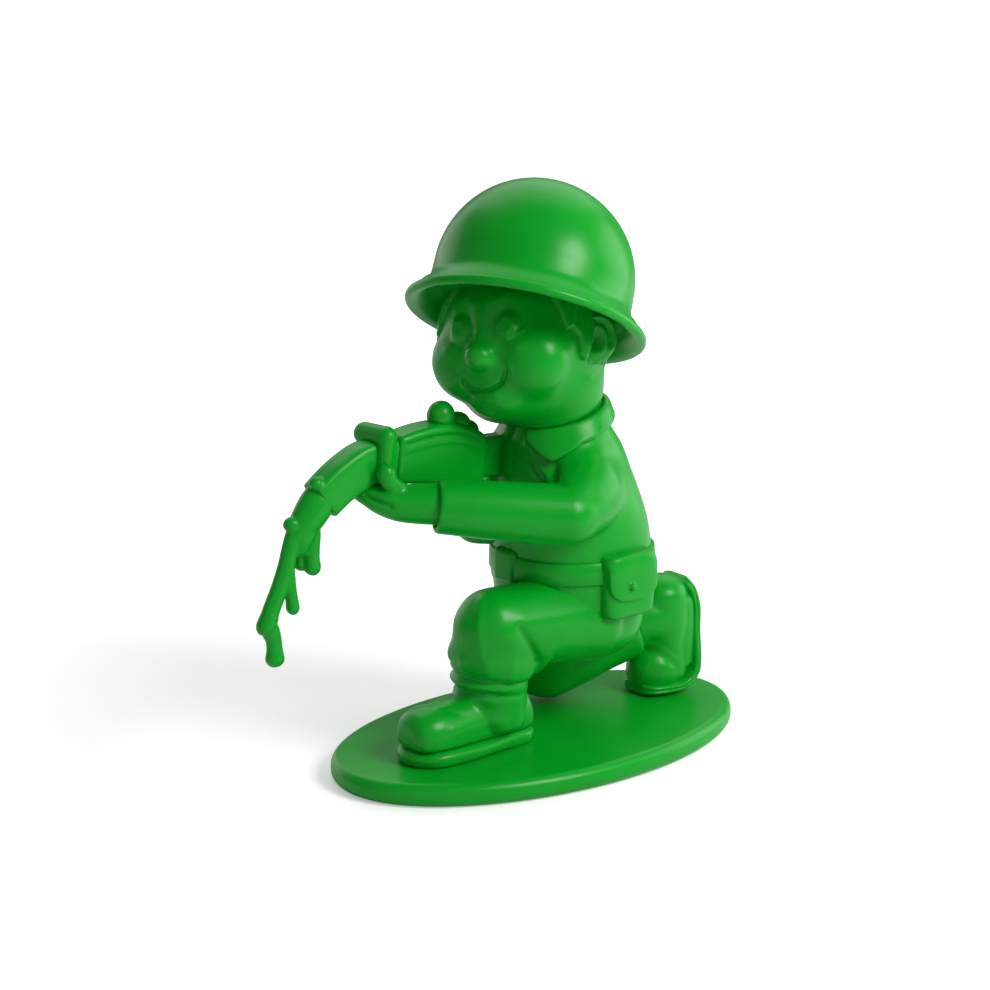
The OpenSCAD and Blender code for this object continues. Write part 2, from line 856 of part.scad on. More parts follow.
module rifle_stock() {
  color(green)
    difference() {
      form_stock();
      form_torso(0, 1, 0);
      form_collar();
      form_sleeve(shoulder_right, elbow_right, cuff_right);
    }
}

module form_grip() {
  at_rifle()
    slab([[receiver_l * 0.1, -receiver_h * 0.4], [-receiver_l * 0.1, -receiver_h * 0.52],
      [receiver_l * 0.02, -receiver_h * 1.4], [receiver_l * 0.2, -receiver_h * 1.4]], stock_w);
}

module rifle_grip() {
  color(green)
    difference() {
      form_grip();
      form_receiver();
      form_stock();
      form_torso(0, 1, 0);
    }
}

// Rows of the handguard from the receiver to the end that melts: forward, up, thickness.
handguard_shares = [
  [0, 0.02, 1], [0.2, 0.02, 1], [0.42, -0.1, 1], [0.64, -0.34, 0.98], [0.82, -0.6, 0.96], [1, -0.92, 0.94]
];

module form_handguard() {
  at_rifle()
    skin([for (j = [0:10])
      let (
        t = j / 2,
        r = spline(handguard_shares, t),
        q = spline(handguard_shares, min(t + 0.2, 5)) - spline(handguard_shares, max(t - 0.2, 0)),
        dir = t > 0 ? unit([0, -q[0] * handguard_l, q[1] * handguard_h]) : [0, -1, 0],
        rise = cross(dir, [1, 0, 0])
      )
      ring([0, -receiver_l - r[0] * handguard_l, r[1] * handguard_h], [1, 0, 0], rise,
        receiver_w * 0.5 * r[2], handguard_h * 0.5 * r[2], 20, 0.5)]);
}

module rifle_handguard() {
  color(green)
    form_handguard();
}

module form_band() {
  at_rifle()
    translate([0, -receiver_l - band_t * 0.9, handguard_h * 0.03])
      rotate([90, 0, 0])
        skin([for (r = [[-0.5, 0.6], [-0.36, 0.9], [0, 1], [0.36, 0.9], [0.5, 0.6]])
          ring([0, 0, r[0] * band_t], [1, 0, 0], [0, 1, 0],
            receiver_w / 2 + band_lip_t * r[1], handguard_h / 2 + band_lip_t * r[1], sides, 0.5)]);
}

module form_lug() {
  at_rifle()
    translate([0, -receiver_l - band_t * 0.9, handguard_h * 0.5 + band_lip_t])
      limb([-receiver_w * 0.5, 0, 0], [receiver_w * 0.45, 0, 0], band_t * 1.05, band_t * 0.9,
        n = 16, steps = 2);
}

module rifle_band() {
  color(green)
    difference() {
      union() {
        form_band();
        form_lug();
      }
      form_handguard();
    }
}

// Melted strand and its drips: forward, up as shares of the strand's fall, then thickness.
melt_shares = [
  [-0.08, 0.11, 0.9], [0.055, 0.08, 1.15], [0.13, -0.03, 1.2], [0.166, -0.16, 1.4], [0.224, -0.28, 1.05],
  [0.315, -0.46, 0.9], [0.414, -0.64, 0.93], [0.455, -0.745, 0.95], [0.415, -0.83, 0.72], [0.388, -0.915, 0.65],
  [0.383, -1, 0.86], [0.384, -1.065, 0.45]
];
drip_one_shares = [
  [0.12, -0.12, 1.3], [0.06, -0.29, 1.15], [0.06, -0.41, 1.15], [0.07, -0.465, 1.1], [0.07, -0.495, 0.6]
];
drip_two_shares = [[0.28, -0.48, 0.8], [0.25, -0.63, 0.82], [0.25, -0.7, 0.9], [0.25, -0.74, 0.45]];
node_shares = [[0.16, -0.12, 0.9], [0.26, -0.106, 0.75], [0.3, -0.12, 0.4]];
lump_shares = [[0.41, -0.68, 0.8], [0.48, -0.765, 0.65], [0.51, -0.8, 0.32]];
melt_root = rifle_rear + [0, -receiver_l - handguard_l * 0.95, -handguard_h * 0.4];

function melt_rows(shares, d) =
  [for (r = shares) concat(melt_root + [0, -r[0] * melt_fall, r[1] * melt_fall], [r[2] * d])];

module form_melt() {
  strand(melt_rows(melt_shares, strand_d), 2);
  strand(melt_rows(drip_one_shares, drip_d), 2);
  strand(melt_rows(drip_two_shares, drip_d), 2);
  strand(melt_rows(node_shares, strand_d), 2);
  strand(melt_rows(lump_shares, strand_d), 2);
}

module rifle_melt() {
  color(green)
    difference() {
      form_melt();
      form_handguard();
    }
}

module form_sight() {
  at_rifle() {
    egg([0, -receiver_l * 0.46, receiver_h * 0.72], [receiver_w * 0.4, receiver_w * 0.44, receiver_w * 0.44]);
    egg([0, -receiver_l * 0.26, receiver_h * 0.6], [receiver_w * 0.38, receiver_w * 0.4, receiver_w * 0.36]);
    egg([0, -receiver_l * 0.14, receiver_h * 0.45], [receiver_w * 0.34, receiver_w * 0.36, receiver_w * 0.34]);
  }
}

module rifle_sight() {
  color(green)
    difference() {
      form_sight();
      form_receiver();
    }
}

// Head

module neck_pin() {
  color(green)
    at_neck()
      translate([0, 0, -pin_root_l])
        cylinder(d = pin_d, h = pin_root_l + pin_l, $fn = round_fn);
}

module at_head() {
  translate(head_middle)
    rotate(head_turns)
      children();
}

// The face looks a little to the side of the skull's middle.
module at_face() {
  at_head()
    rotate([0, 0, face_turn])
      children();
}

// Rows of the head from under the chin to the crown: height, shift back, half width, half depth.
head_shares = [
  [-0.44, -0.02, 0.1, 0.1], [-0.43, -0.02, 0.19, 0.19], [-0.38, 0.015, 0.3, 0.3], [-0.29, 0.03, 0.38, 0.385],
  [-0.17, 0, 0.44, 0.435], [-0.04, 0.005, 0.485, 0.48], [0.1, 0.02, 0.485, 0.495], [0.25, 0.04, 0.46, 0.475],
  [0.38, 0.06, 0.38, 0.4], [0.48, 0.07, 0.24, 0.26], [0.53, 0.07, 0.08, 0.09]
];

module form_skull(grow, n = 28) {
  rows = 14;
  skin([for (j = [0:rows])
    let (r = spline(head_shares, j * (len(head_shares) - 1) / rows))
    ring([0, r[1] * head_d, r[0] * head_h], [1, 0, 0], [0, 1, 0],
      r[2] * head_w + grow, r[3] * head_d + grow, n)]);
}

// Nose, cheeks, chin and the raised ovals of the eyes.
module form_face() {
  egg([0, -head_d * 0.49, -head_h * 0.06], [nose_w / 2, nose_w * 0.62, nose_w * 0.46]);
  for (side = [-1, 1]) {
    egg([side * head_w * 0.215, -head_d * 0.28, -head_h * 0.09],
      [head_w * 0.22, head_d * 0.17, head_h * 0.2], 20);
    egg([side * eye_w * 0.95, -head_d * 0.425, head_h * 0.1], [eye_w / 2, eye_w * 0.28, eye_w * 0.55], 16,
      [-10, 0, side * 16]);
  }
  egg([0, -head_d * 0.25, -head_h * 0.26], [head_w * 0.22, head_d * 0.15, head_h * 0.16], 20);
}

// Half of the mouth's line from its middle to a corner: side as shares of its width, back, up of the head.
mouth_shares = [
  [0, -0.397, -0.292], [0.14, -0.395, -0.283], [0.28, -0.392, -0.258], [0.42, -0.41, -0.2], [0.5, -0.44, -0.14]
];

// Groove of the smiling mouth from corner to corner.
module form_mouth() {
  last = len(mouth_shares) - 1;
  strand([for (j = [-last:last])
    let (s = mouth_shares[abs(j)], side = j < 0 ? -1 : 1, w = mouth_groove_w * (abs(j) == last ? 0.5 : 1))
    [side * s[0] * mouth_w, s[1] * head_d, s[2] * head_h, w]], 2, side = [0, 1, 0]);
}

module head() {
  rim = collar_h + turn_gap;
  color(green)
    difference() {
      union() {
        at_head()
          form_skull(0);
        at_face()
          form_face();
        at_neck()
          translate([0, 0, turn_gap])
            cylinder(d = neck_d, h = head_h * 0.3, $fn = round_fn);
      }
      at_face()
        form_mouth();
      at_neck() {
        difference() {
          translate([0, 0, -head_h])
            cylinder(d = 2 * head_w, h = head_h + rim, $fn = round_fn);
          translate([0, 0, turn_gap])
            cylinder(d = neck_d, h = head_h, $fn = round_fn);
        }
        translate([0, 0, -overrun])
          cylinder(d = pin_d + 2 * pin_gap, h = pin_l + turn_gap + overrun, $fn = round_fn);
      }
    }
}

// Ear with the bowl of its shell hollowed out.
module form_ear(side) {
  at_head()
    translate([side * head_w * 0.51, head_d * 0.04, head_h * 0.03])
      rotate([0, side * 12, side * 28])
        difference() {
          egg([0, 0, 0], [ear_h * 0.24, ear_h * 0.38, ear_h * 0.5], 18);
          egg([side * ear_h * 0.2, -ear_h * 0.06, ear_h * 0.03], [ear_h * 0.16, ear_h * 0.2, ear_h * 0.28]);
        }
}

// Shell of hair over the back of the skull, from its front edge back and up to the helmet.
module form_hair() {
  intersection() {
    at_head()
      form_skull(hair_t);
    at_head()
      translate([head_w * 0.5, -head_d * 0.23, 0])
        rotate([-24, 0, -24])
          translate([-2 * head_w, 0, 0])
            cube([3 * head_w, 2 * head_d, head_h]);
    at_helmet()
      translate([0, 0, brim_hollow_h - 2 * head_h])
        cylinder(r = dome_r - shell_t - fit_gap, h = 2 * head_h, $fn = round_fn);
  }
}

module left_ear() {
  color(green)
    difference() {
      form_ear(1);
      at_head()
        form_skull(0);
      form_hair();
    }
}

module right_ear() {
  color(green)
    difference() {
      form_ear(-1);
      at_head()
        form_skull(0);
      form_helmet();
    }
}

module hair() {
  color(green)
    difference() {
      form_hair();
      at_head()
        form_skull(0);
      form_ear(-1);
      at_neck() {
        translate([0, 0, -head_h])
          cylinder(d = 2 * head_w, h = head_h + collar_h + turn_gap, $fn = round_fn);
        cylinder(d = neck_d, h = head_h * 0.3 + turn_gap, $fn = round_fn);
      }
    }
}

// Helmet

dome_r = dome_d / 2;
dome_foot = helmet_h - dome_r;

// Section of the helmet from the crown out over the brim and back under it.
function helmet_section() =
  concat(
    [for (w = [90:-7.5:0]) [dome_r * cos(w), dome_foot + dome_r * sin(w)]],
    [[dome_r * 1.005, dome_foot * 0.62], [dome_r * 1.03, dome_foot * 0.44], [dome_r * 1.1, dome_foot * 0.3]],
    [for (w = [100:-30:-80]) [brim_d / 2 - lip_t / 2 + lip_t / 2 * cos(w), lip_t / 2 * sin(w)]],
    [[dome_r * 1.08, -lip_t * 0.1], [dome_r * 0.99, brim_hollow_h * 0.5],
      [dome_r - shell_t, brim_hollow_h], [0, brim_hollow_h]]
  );

module at_helmet() {
  translate(helmet_foot)
    rotate(helmet_turns)
      children();
}

module form_helmet() {
  at_helmet()
    rotate_extrude($fn = 96)
      polygon(helmet_section());
}

module helmet() {
  color(green)
    difference() {
      form_helmet();
      at_head()
        form_skull(0);
    }
}

base_plate();
left_boot_sole();
left_boot();
right_boot_sole();
right_boot();
left_trouser_leg();
right_trouser_leg();
trouser_seat();
jacket_skirt();
jacket();
belt();
belt_buckle();
hip_pouch();
hip_pouch_flap();
front_pouch();
collar();
left_sleeve();
right_sleeve();
left_hand();
right_hand();
rifle_receiver();
rifle_stock();
rifle_grip();
rifle_band();
rifle_handguard();
rifle_melt();
rifle_sight();
neck_pin();
head();
left_ear();
right_ear();
hair();
helmet();
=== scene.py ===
import bpy
import numpy as np
from mathutils import Matrix


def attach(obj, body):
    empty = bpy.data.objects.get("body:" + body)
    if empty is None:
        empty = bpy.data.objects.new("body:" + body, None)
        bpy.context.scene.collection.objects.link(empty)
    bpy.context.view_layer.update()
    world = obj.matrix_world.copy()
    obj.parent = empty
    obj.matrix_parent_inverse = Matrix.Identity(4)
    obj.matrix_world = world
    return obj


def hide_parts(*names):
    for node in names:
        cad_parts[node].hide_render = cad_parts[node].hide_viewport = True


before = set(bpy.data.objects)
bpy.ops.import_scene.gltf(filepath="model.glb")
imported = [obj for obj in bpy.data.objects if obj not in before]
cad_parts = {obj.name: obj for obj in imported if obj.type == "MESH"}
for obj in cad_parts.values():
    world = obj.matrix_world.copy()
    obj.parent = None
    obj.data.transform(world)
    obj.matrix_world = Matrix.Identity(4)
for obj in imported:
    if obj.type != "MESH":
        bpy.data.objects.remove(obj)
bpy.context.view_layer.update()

# Shapes are in millimetres until they reach a mesh. The floor, lights and camera are in metres.
MM = 0.001

# Points round a ring, and round one of the neck and skull
SIDES, NECK_SIDES = 72, 96

# Directions of the figure
SIDE, BACK, UP = (1, 0, 0), (0, 1, 0), (0, 0, 1)

# Sizes
base_w, base_l, base_t, base_edge = 120, 204, 10, 4.3
thigh_w, knee_w, hem_w, shin_w = 38, 33, 35, 30
boot_l, boot_w, sole_t, toe_h, shaft_w, sole_ahead = 64, 27, 6.6, 14, 33, 0.5
torso_w, torso_d, torso_h = 69, 68, 89
shoulder_w, elbow_w, cuff_w, cuff_t, sleeve_past = 36, 26.5, 20, 1.1, 1.6
belt_t, buckle_w, buckle_h, buckle_t, buckle_edge, buckle_aside = 1.5, 14, 15, 6, 2.4, -2.5
pouch_l, pouch_h, pouch_t, flap_t, pouch_share = 31, 27, 13, 1.4, 0.9
small_pouch_l, small_pouch_t, small_pouch_h = 13, 10.5, 15
neck_d, collar_h, collar_t, collar_drop, turn_gap = 40, 3.2, 2.4, 8, 0.4
head_w, head_d, head_h, nose_w = 70, 71, 73, 13
eye_x, eye_z, eye_w, eye_h, face_front = 11.4, 6.2, 5.6, 6.6, -12
ear_t, ear_d, ear_h = 4.4, 9.9, 11
dome_r, brim_r, helmet_h, shell_t, brim_hollow_h, lip_t = 43, 52, 61.5, 3.4, 7, 4.6
receiver_l, receiver_h, receiver_w = 47, 23, 14
guard_l, guard_h, guard_share, stock_h, stock_w = 37, 18, 0.93, 18, 9
band_t, band_lip_t, melt_fall, strand_d, drip_d = 7, 1.6, 63, 8.2, 6
palm_t, finger_d = 15, 8

# Places
torso_foot = np.array([0, 20, 62.0])
neck_seat = np.array([0, 11.024, 147.974])
hip_left, knee_left, hem_left = np.array([[15, 17, 59.9], [13, -35.6, 65], [9, -32.4, 46.5]])
hip_right, knee_right, hem_right = np.array([[-15, 18, 58], [-24, 24, 26.3], [-9, 61, 42.4]])
ankle_right = np.array([-5, 74, 46.0])
shoulder_left, elbow_left, cuff_left = np.array([[23, 9, 120.5], [33.5, -10, 113.8], [7, -58, 120]])
shoulder_right, elbow_right, cuff_right = np.array([[-23, 11, 121.5], [-39.5, 0, 115], [-31, -9, 108.3]])
palm_right = np.array([-19, -16, 102.3])
rifle_rear = np.array([-14, -21.4, 133.0])
head_middle = np.array([-6, -4, 178.0])
helmet_foot = np.array([0.1, -6.8, 191.4])
sole_middle = np.array([7, -44.4, 10.0])
sole_toe = np.array([-4, 60, 10.0])
band_middle = -receiver_l - band_t * 0.9
pouch_middle = torso_foot + np.array([torso_w * 0.49, torso_d * 0.03, torso_h * 0.17])
belt_front = torso_foot + np.array([0, -torso_d / 2, torso_h * 0.255])


# Numbers and curves

def unit(v):
    return np.asarray(v, float) / np.linalg.norm(v)


def mix(a, b, t):
    return a + (b - a) * t


def bent(v, bend):
    return np.sign(v) * np.abs(v) ** bend


def spline(rows, t):
    """A smooth row between the rows of a table; t counts in rows."""
    rows = np.asarray(rows, float)
    last = len(rows) - 1
    i = int(min(np.floor(t), last - 1))
    u = t - i
    a, b, c, d = rows[max(i - 1, 0)], rows[i], rows[i + 1], rows[min(i + 2, last)]
    return (2 * b + (c - a) * u + (2 * a - 5 * b + 4 * c - d) * u ** 2 + (3 * b - a - 3 * c + d) * u ** 3) / 2


def curve(rows, steps):
    """The whole table as smooth rows, with so many steps between two rows."""
    return np.array([spline(rows, j / steps) for j in range((len(rows) - 1) * steps + 1)])


def ring(c, side, rise, a, b, n=SIDES, bend=1.0):
    """An oval of n points round c. It is squarer where bend is under 1."""
    w = 2 * np.pi * (np.arange(n) + 0.5) / n
    return (np.asarray(c, float) + np.outer(bent(np.cos(w), bend) * a, side)
            + np.outer(bent(np.sin(w), bend) * b, rise))


def turned(x=0, y=0, z=0):
    """Turn about x, then y, then z, in degrees."""
    m = Matrix.Rotation(np.radians(z), 3, "Z") @ Matrix.Rotation(np.radians(y), 3, "Y") \
        @ Matrix.Rotation(np.radians(x), 3, "X")
    return np.array(m)


class Spot:
    """A place with its own turn, for shapes drawn upright and then seated."""

    def __init__(self, middle, turn):
        self.middle, self.turn = np.asarray(middle, float), turn

    def out(self, points):
        return np.asarray(points, float) @ self.turn.T + self.middle

    def into(self, points):
        return (np.asarray(points, float) - self.middle) @ self.turn

    def at(self, *place):
        return self.out([place])[0]

    def level(self, z, a, b, n=SIDES, bend=1.0, y=0):
        """A ring that lies flat in the spot at a height."""
        return self.out(ring((0, y, z), SIDE, BACK, a, b, n, bend))


# Spots of the parts that tilt, their turns in degrees
head_spot = Spot(head_middle, turned(-16, -9, 25))
face_spot = Spot(head_middle, head_spot.turn @ turned(0, 0, -3.5))
helmet_spot = Spot(helmet_foot, turned(-30, 0, 33) @ turned(0, 2.4, 0))
neck_spot = Spot(neck_seat, turned(14))
rifle_spot = Spot(rifle_rear, turned(-6))
pouch_spot = Spot(pouch_middle + np.array([-2, 0.8, 0]), turned(0, 0, 93))
small_pouch_spot = Spot(belt_front + np.array([-torso_w * 0.33, torso_d * 0.2, -5.2]), turned(0, 0, -32))


# Mesh work

def only(*objs):
    """Selects just these objects, the first of them active."""
    bpy.ops.object.select_all(action="DESELECT")
    for o in objs:
        o.select_set(True)
    if objs:
        bpy.context.view_layer.objects.active = objs[0]


def points_of(obj):
    flat = np.empty(len(obj.data.vertices) * 3)
    obj.data.vertices.foreach_get("co", flat)
    return flat.reshape(-1, 3) / MM


def normals_of(obj):
    flat = np.empty(len(obj.data.vertices) * 3)
    obj.data.vertex_normals.foreach_get("vector", flat)
    return flat.reshape(-1, 3)


def set_points(obj, points):
    obj.data.vertices.foreach_set("co", (points * MM).ravel())
    obj.data.update()


def seal():
    """Closes the ends of the shape in hand and turns its faces outwards."""
    bpy.ops.object.mode_set(mode="EDIT")
    bpy.ops.mesh.select_all(action="SELECT")
    bpy.ops.mesh.remove_doubles(threshold=1e-6)
    bpy.ops.mesh.select_all(action="SELECT")
    bpy.ops.mesh.fill_holes(sides=0)
    bpy.ops.mesh.select_all(action="SELECT")
    bpy.ops.mesh.normals_make_consistent(inside=False)
    bpy.ops.object.mode_set(mode="OBJECT")


def tube(rings):
    """A grid rolled through a row of rings, its ends closed."""
    rings = np.asarray(rings, float)
    m, n = rings.shape[:2]
    only()
    bpy.ops.mesh.primitive_grid_add(x_subdivisions=n, y_subdivisions=m - 1, size=1)
    obj = bpy.context.object
    set_points(obj, np.concatenate([rings, rings[:, :1]], axis=1).reshape(-1, 3))
    seal()
    return obj


def band_of(rings):
    """A grid rolled both ways, for a closed hoop of rings."""
    rings = np.asarray(rings, float)
    return tube(np.concatenate([rings, rings[:1]], axis=0))


def change(obj, kind, **settings):
    """One modifier, applied."""
    only(obj)
    step = obj.modifiers.new("step", kind)
    for name, value in settings.items():
        setattr(step, name, value)
    bpy.ops.object.modifier_apply(modifier=step.name)


def smooth(obj, passes, **settings):
    change(obj, "SMOOTH", factor=0.5, iterations=passes, **settings)


def fused(parts, voxel, passes):
    """Parts run together into one skin of a grain, its seams softened."""
    only(*parts)
    if len(parts) > 1:
        bpy.ops.object.join()
    change(parts[0], "REMESH", mode="VOXEL", voxel_size=voxel * MM, adaptivity=0.0)
    smooth(parts[0], passes)
    return parts[0]


def carved(obj, tool, operation="DIFFERENCE"):
    """A piece less its tool, or only what both share."""
    change(obj, "BOOLEAN", operation=operation, object=tool, solver="EXACT")
    bpy.data.objects.remove(tool)
    return obj


def limb(a, b, wa, wb, swell=(1, 1), thin=1.0, cap_a=1.0, cap_b=1.0, up=UP, n=SIDES, steps=16):
    """A tube between two places with a swell and domed ends."""
    a, b = np.asarray(a, float), np.asarray(b, float)
    length = np.linalg.norm(b - a)
    way = unit(b - a)
    side = unit(np.cross(up, way))
    rise = np.cross(way, side)
    caps = np.radians([89, 78, 65, 52, 39, 26, 13])
    rows = [(-wa / 2 * cap_a * np.sin(w), wa / 2 * np.cos(w)) for w in caps if cap_a > 0]
    for j in range(steps + 1):
        t = j / steps
        rows.append((length * t, mix(wa, wb, t) / 2 * spline(np.array(swell)[:, None], t * (len(swell) - 1))[0]))
    rows += [(length + wb / 2 * cap_b * np.sin(w), wb / 2 * np.cos(w)) for w in caps[::-1] if cap_b > 0]
    return tube([ring(a + way * d, side, rise, r, r * thin, n) for d, r in rows])


def strand(rows, thin):
    """A tube through places that each have a width."""
    at = curve(rows, 8)
    rings = []
    for j, p in enumerate(at):
        way = unit((at[min(j + 1, len(at) - 1)] - at[max(j - 1, 0)])[:3])
        rise = unit(np.cross(way, SIDE))
        rings.append(ring(p[:3], np.cross(rise, way), rise, p[3] / 2 * thin, p[3] / 2, 40))
    return tube(rings)


def capsule(places, widths):
    """A finger of round links."""
    rows = [list(p) + [w] for p, w in zip(places, widths)]
    at = curve(rows, 6)
    first, last = unit(at[0, :3] - at[1, :3]), unit(at[-1, :3] - at[-2, :3])
    caps = np.radians([88, 70, 50, 30])
    head = [np.append(at[0, :3] + first * at[0, 3] / 2 * np.sin(w), at[0, 3] * np.cos(w)) for w in caps]
    tail = [np.append(at[-1, :3] + last * at[-1, 3] / 2 * np.sin(w), at[-1, 3] * np.cos(w)) for w in caps[::-1]]
    at = np.array(head + list(at) + tail)
    rings = []
    side = unit(np.cross(first, (0.3, 0.2, 0.93)))
    for j, p in enumerate(at):
        way = unit(at[min(j + 1, len(at) - 1), :3] - at[max(j - 1, 0), :3])
        side = unit(side - way * np.dot(side, way))
        rings.append(ring(p[:3], side, np.cross(way, side), p[3] / 2, p[3] / 2, 24))
    return tube(rings)


def egg(c, r, spot=None):
    """An egg shape with half sizes r."""
    rings = np.array([ring((0, 0, r[2] * np.sin(v)), SIDE, BACK, r[0] * np.cos(v), r[1] * np.cos(v), 48)
                      for v in np.radians(np.linspace(-88, 88, 25))]) + np.asarray(c, float)
    return tube(spot.out(rings) if spot else rings)


# Touches of the modelling tool

def nearness(points, places):
    """Least distance from each point to a line through places."""
    best = np.full(len(points), 1e9)
    for a, b in zip(places[:-1], places[1:]):
        ab = b - a
        t = np.clip((points - a) @ ab / (ab @ ab), 0, 1)
        best = np.minimum(best, np.linalg.norm(points - a - t[:, None] * ab, axis=1))
    return best


def soften(obj, middle, reach, passes):
    """More smoothing round a place, fading out."""
    group = obj.vertex_groups.new(name="soft")
    near = np.linalg.norm(points_of(obj) - np.asarray(middle, float), axis=1) / reach
    for share in (0.25, 0.5, 0.75, 1.0):
        group.add([int(v) for v in np.where(near < 1.25 - share)[0]], share, "REPLACE")
    smooth(obj, passes, vertex_group="soft")
    obj.vertex_groups.clear()


def push(obj, move):
    """Moves each point along its normal by its own amount."""
    set_points(obj, points_of(obj) + normals_of(obj) * move[:, None])


def bell(v, middle, reach):
    """1 at the middle, and fading out over reach."""
    return np.exp(-((v - middle) / reach) ** 2)


def step_up(v, low, high):
    """Smooth rise from 0 at low to 1 at high."""
    s = np.clip((v - low) / (high - low), 0, 1)
    return s * s * (3 - 2 * s)


def stroke(obj, places, reach, amount):
    """Pushes the skin in or out along a line, amount outwards at its middle."""
    places = np.asarray(places, float)
    if len(places) > 2:
        places = curve(places, 6)
    push(obj, amount * bell(nearness(points_of(obj), places), 0, reach))


def strokes(obj, table, middle=(0, 0, 0), sides=(1,)):
    """Strokes from a table of line, reach and amount, mirrored to each side in turn."""
    for side in sides:
        for line, reach, amount in table:
            stroke(obj, np.array(line) * (side, 1, 1) + middle, reach, amount)


def face_stroke(obj, path, reach, amount, both):
    """A crease or ridge on the face along side, up places, on both sides or as drawn."""
    local = face_spot.into(points_of(obj))
    path = curve(path, 6) if len(path) > 2 else np.asarray(path, float)
    move = np.zeros(len(local))
    for side in ((-1, 1) if both else (1,)):
        move = np.maximum(move, bell(nearness(local[:, [0, 2]], path * (side, 1)), 0, reach))
    push(obj, move * amount * (local[:, 1] < face_front))


# Base

def make_base():
    only()
    bpy.ops.mesh.primitive_cylinder_add(vertices=256, radius=1, depth=base_t * MM, location=(0, 0, base_t / 2 * MM),
                                        scale=(base_w / 2 * MM, base_l / 2 * MM, 1))
    obj = bpy.context.object
    bpy.ops.object.transform_apply(location=True, rotation=True, scale=True)
    change(obj, "BEVEL", width=base_edge * MM, segments=8, limit_method="ANGLE", angle_limit=np.radians(60),
           profile=0.5, offset_type="OFFSET")
    return obj


# Boots

sole_width_rows = [[v] for v in (0.84, 0.85, 0.86, 0.88, 0.94, 1, 1.02, 1.02, 1, 0.96)]


def sole_half(t):
    """Half width of the sole at a share of its length, its heel and toe round."""
    heel, toe = 1 - min(1, t / 0.16), 1 - min(1, (1 - t) / 0.21)
    width = spline(sole_width_rows, t * (len(sole_width_rows) - 1))[0]
    return 0.5 * width * np.sqrt((1 - heel ** 2) * (1 - toe ** 2))


def sole_ring(out, z):
    """Outline of the standing sole at a height, grown outwards."""
    t = (1 - np.cos(np.linspace(0, np.pi, 40))) / 2
    half = np.array([max(sole_half(v), 0.02) * boot_w for v in t])
    y = boot_l / 2 - boot_l * t
    points = np.concatenate([np.stack([half, y], 1), np.stack([-half, y], 1)[::-1]])
    grown = points + out * points / np.maximum(np.linalg.norm(points, axis=1), 1)[:, None]
    return np.column_stack([grown, np.full(len(grown), z)]) + np.array([sole_middle[0], sole_middle[1], 0])


# Edge of a sole from its bottom to its top: height, way out.
welt_rows = [(0, -1.4), (0.05, -0.3), (0.14, 0.6), (0.3, 1.2), (0.5, 1.4), (0.68, 1.2), (0.8, 0.6), (0.88, -0.2),
             (0.95, -1.2), (1, -2.2)]


def make_left_sole():
    return tube([sole_ring(out, base_t + sole_t * h) for h, out in curve(welt_rows, 3)])


# The front boot from heel to toe: share of its length, width, height.
upper_rows = [
    [0.02, 0.66, 0.7], [0.07, 0.84, 1.25], [0.2, 0.93, 1.45], [0.4, 0.96, 1.42], [0.55, 0.99, 1.32],
    [0.7, 1.02, 1.22], [0.82, 1.02, 1.22], [0.9, 0.95, 1.14], [0.955, 0.8, 1.0], [0.988, 0.52, 0.74]
]
boot_strokes = [
    ([(15, -40, 37.5), (11.5, -49, 37.2), (5, -55, 36.4)], 1.4, -0.8),
    ([(15, -41, 34.4), (11, -51, 35), (4, -58, 34.5)], 2.2, 0.4),
    ([(15, -43.5, 30.6), (12, -53, 31.4), (5, -61, 32.5)], 1.6, -0.4),
    ([(14, -35, 24), (13.5, -48, 26.5), (13, -60, 25.5)], 2.6, 0.5),
]


def left_shaft():
    foot = sole_middle + np.array([0, boot_l * 0.2, sole_t + toe_h * 0.4])
    top = hem_left + np.array([0, 0, hem_w * 0.16])
    return limb(foot, top, shaft_w * 0.95, shaft_w, swell=(1, 0.98, 1, 0.98), thin=1.02, cap_a=0.3, cap_b=0.1,
                up=SIDE)


def make_left_boot():
    middle_h, low = 0.32, base_t + sole_t - 0.5
    rings = [ring(sole_middle + np.array([0, boot_l * (0.5 - r[0]), sole_t + toe_h * middle_h]), SIDE, UP,
                  r[1] * boot_w / 2 - 0.7, (r[2] - middle_h) * toe_h, bend=0.86) for r in curve(upper_rows, 6)]
    rings = [np.column_stack([r[:, :2], np.maximum(r[:, 2], low)]) for r in rings]
    obj = fused([tube(rings), left_shaft()], 0.55, 12)
    soften(obj, sole_middle + np.array([0, -4, 24]), 16, 60)
    x, y, z = (points_of(obj) - np.array([sole_middle[0], 0, 0])).T
    front = step_up(-y, 26, 44)
    lean = z + 0.22 * (y + 50) * (y > -50) * 0.6
    folds = 1.1 * bell(lean, 47.6, 2.0) - 0.9 * bell(lean, 44.6, 1.1) + 1.3 * bell(lean, 41.6, 2.1)
    folds -= 1.3 * bell(lean, 38.2, 1.2)
    wavy = 1 + 0.25 * np.sin(x / 3.3)
    push(obj, folds * wavy * (0.25 + 0.75 * front) * step_up(-y, 10, 30))
    push(obj, -1.0 * bell(z, base_t + sole_t, 1.2) * (z < 22))
    strokes(obj, boot_strokes, sole_middle * SIDE, (1, -1))
    smooth(obj, 2)
    return obj


# The bent sole from toe to heel: share of its length back, up, width.
bent_sole_rows = [
    [0.0, 0, 0.5], [0.04, 0, 0.8], [0.16, 0, 1], [0.3, 0, 1], [0.4, 0.06, 1],
    [0.445, 0.2, 0.94], [0.445, 0.39, 0.82], [0.43, 0.56, 0.84], [0.395, 0.69, 0.84], [0.36, 0.75, 0.6]
]


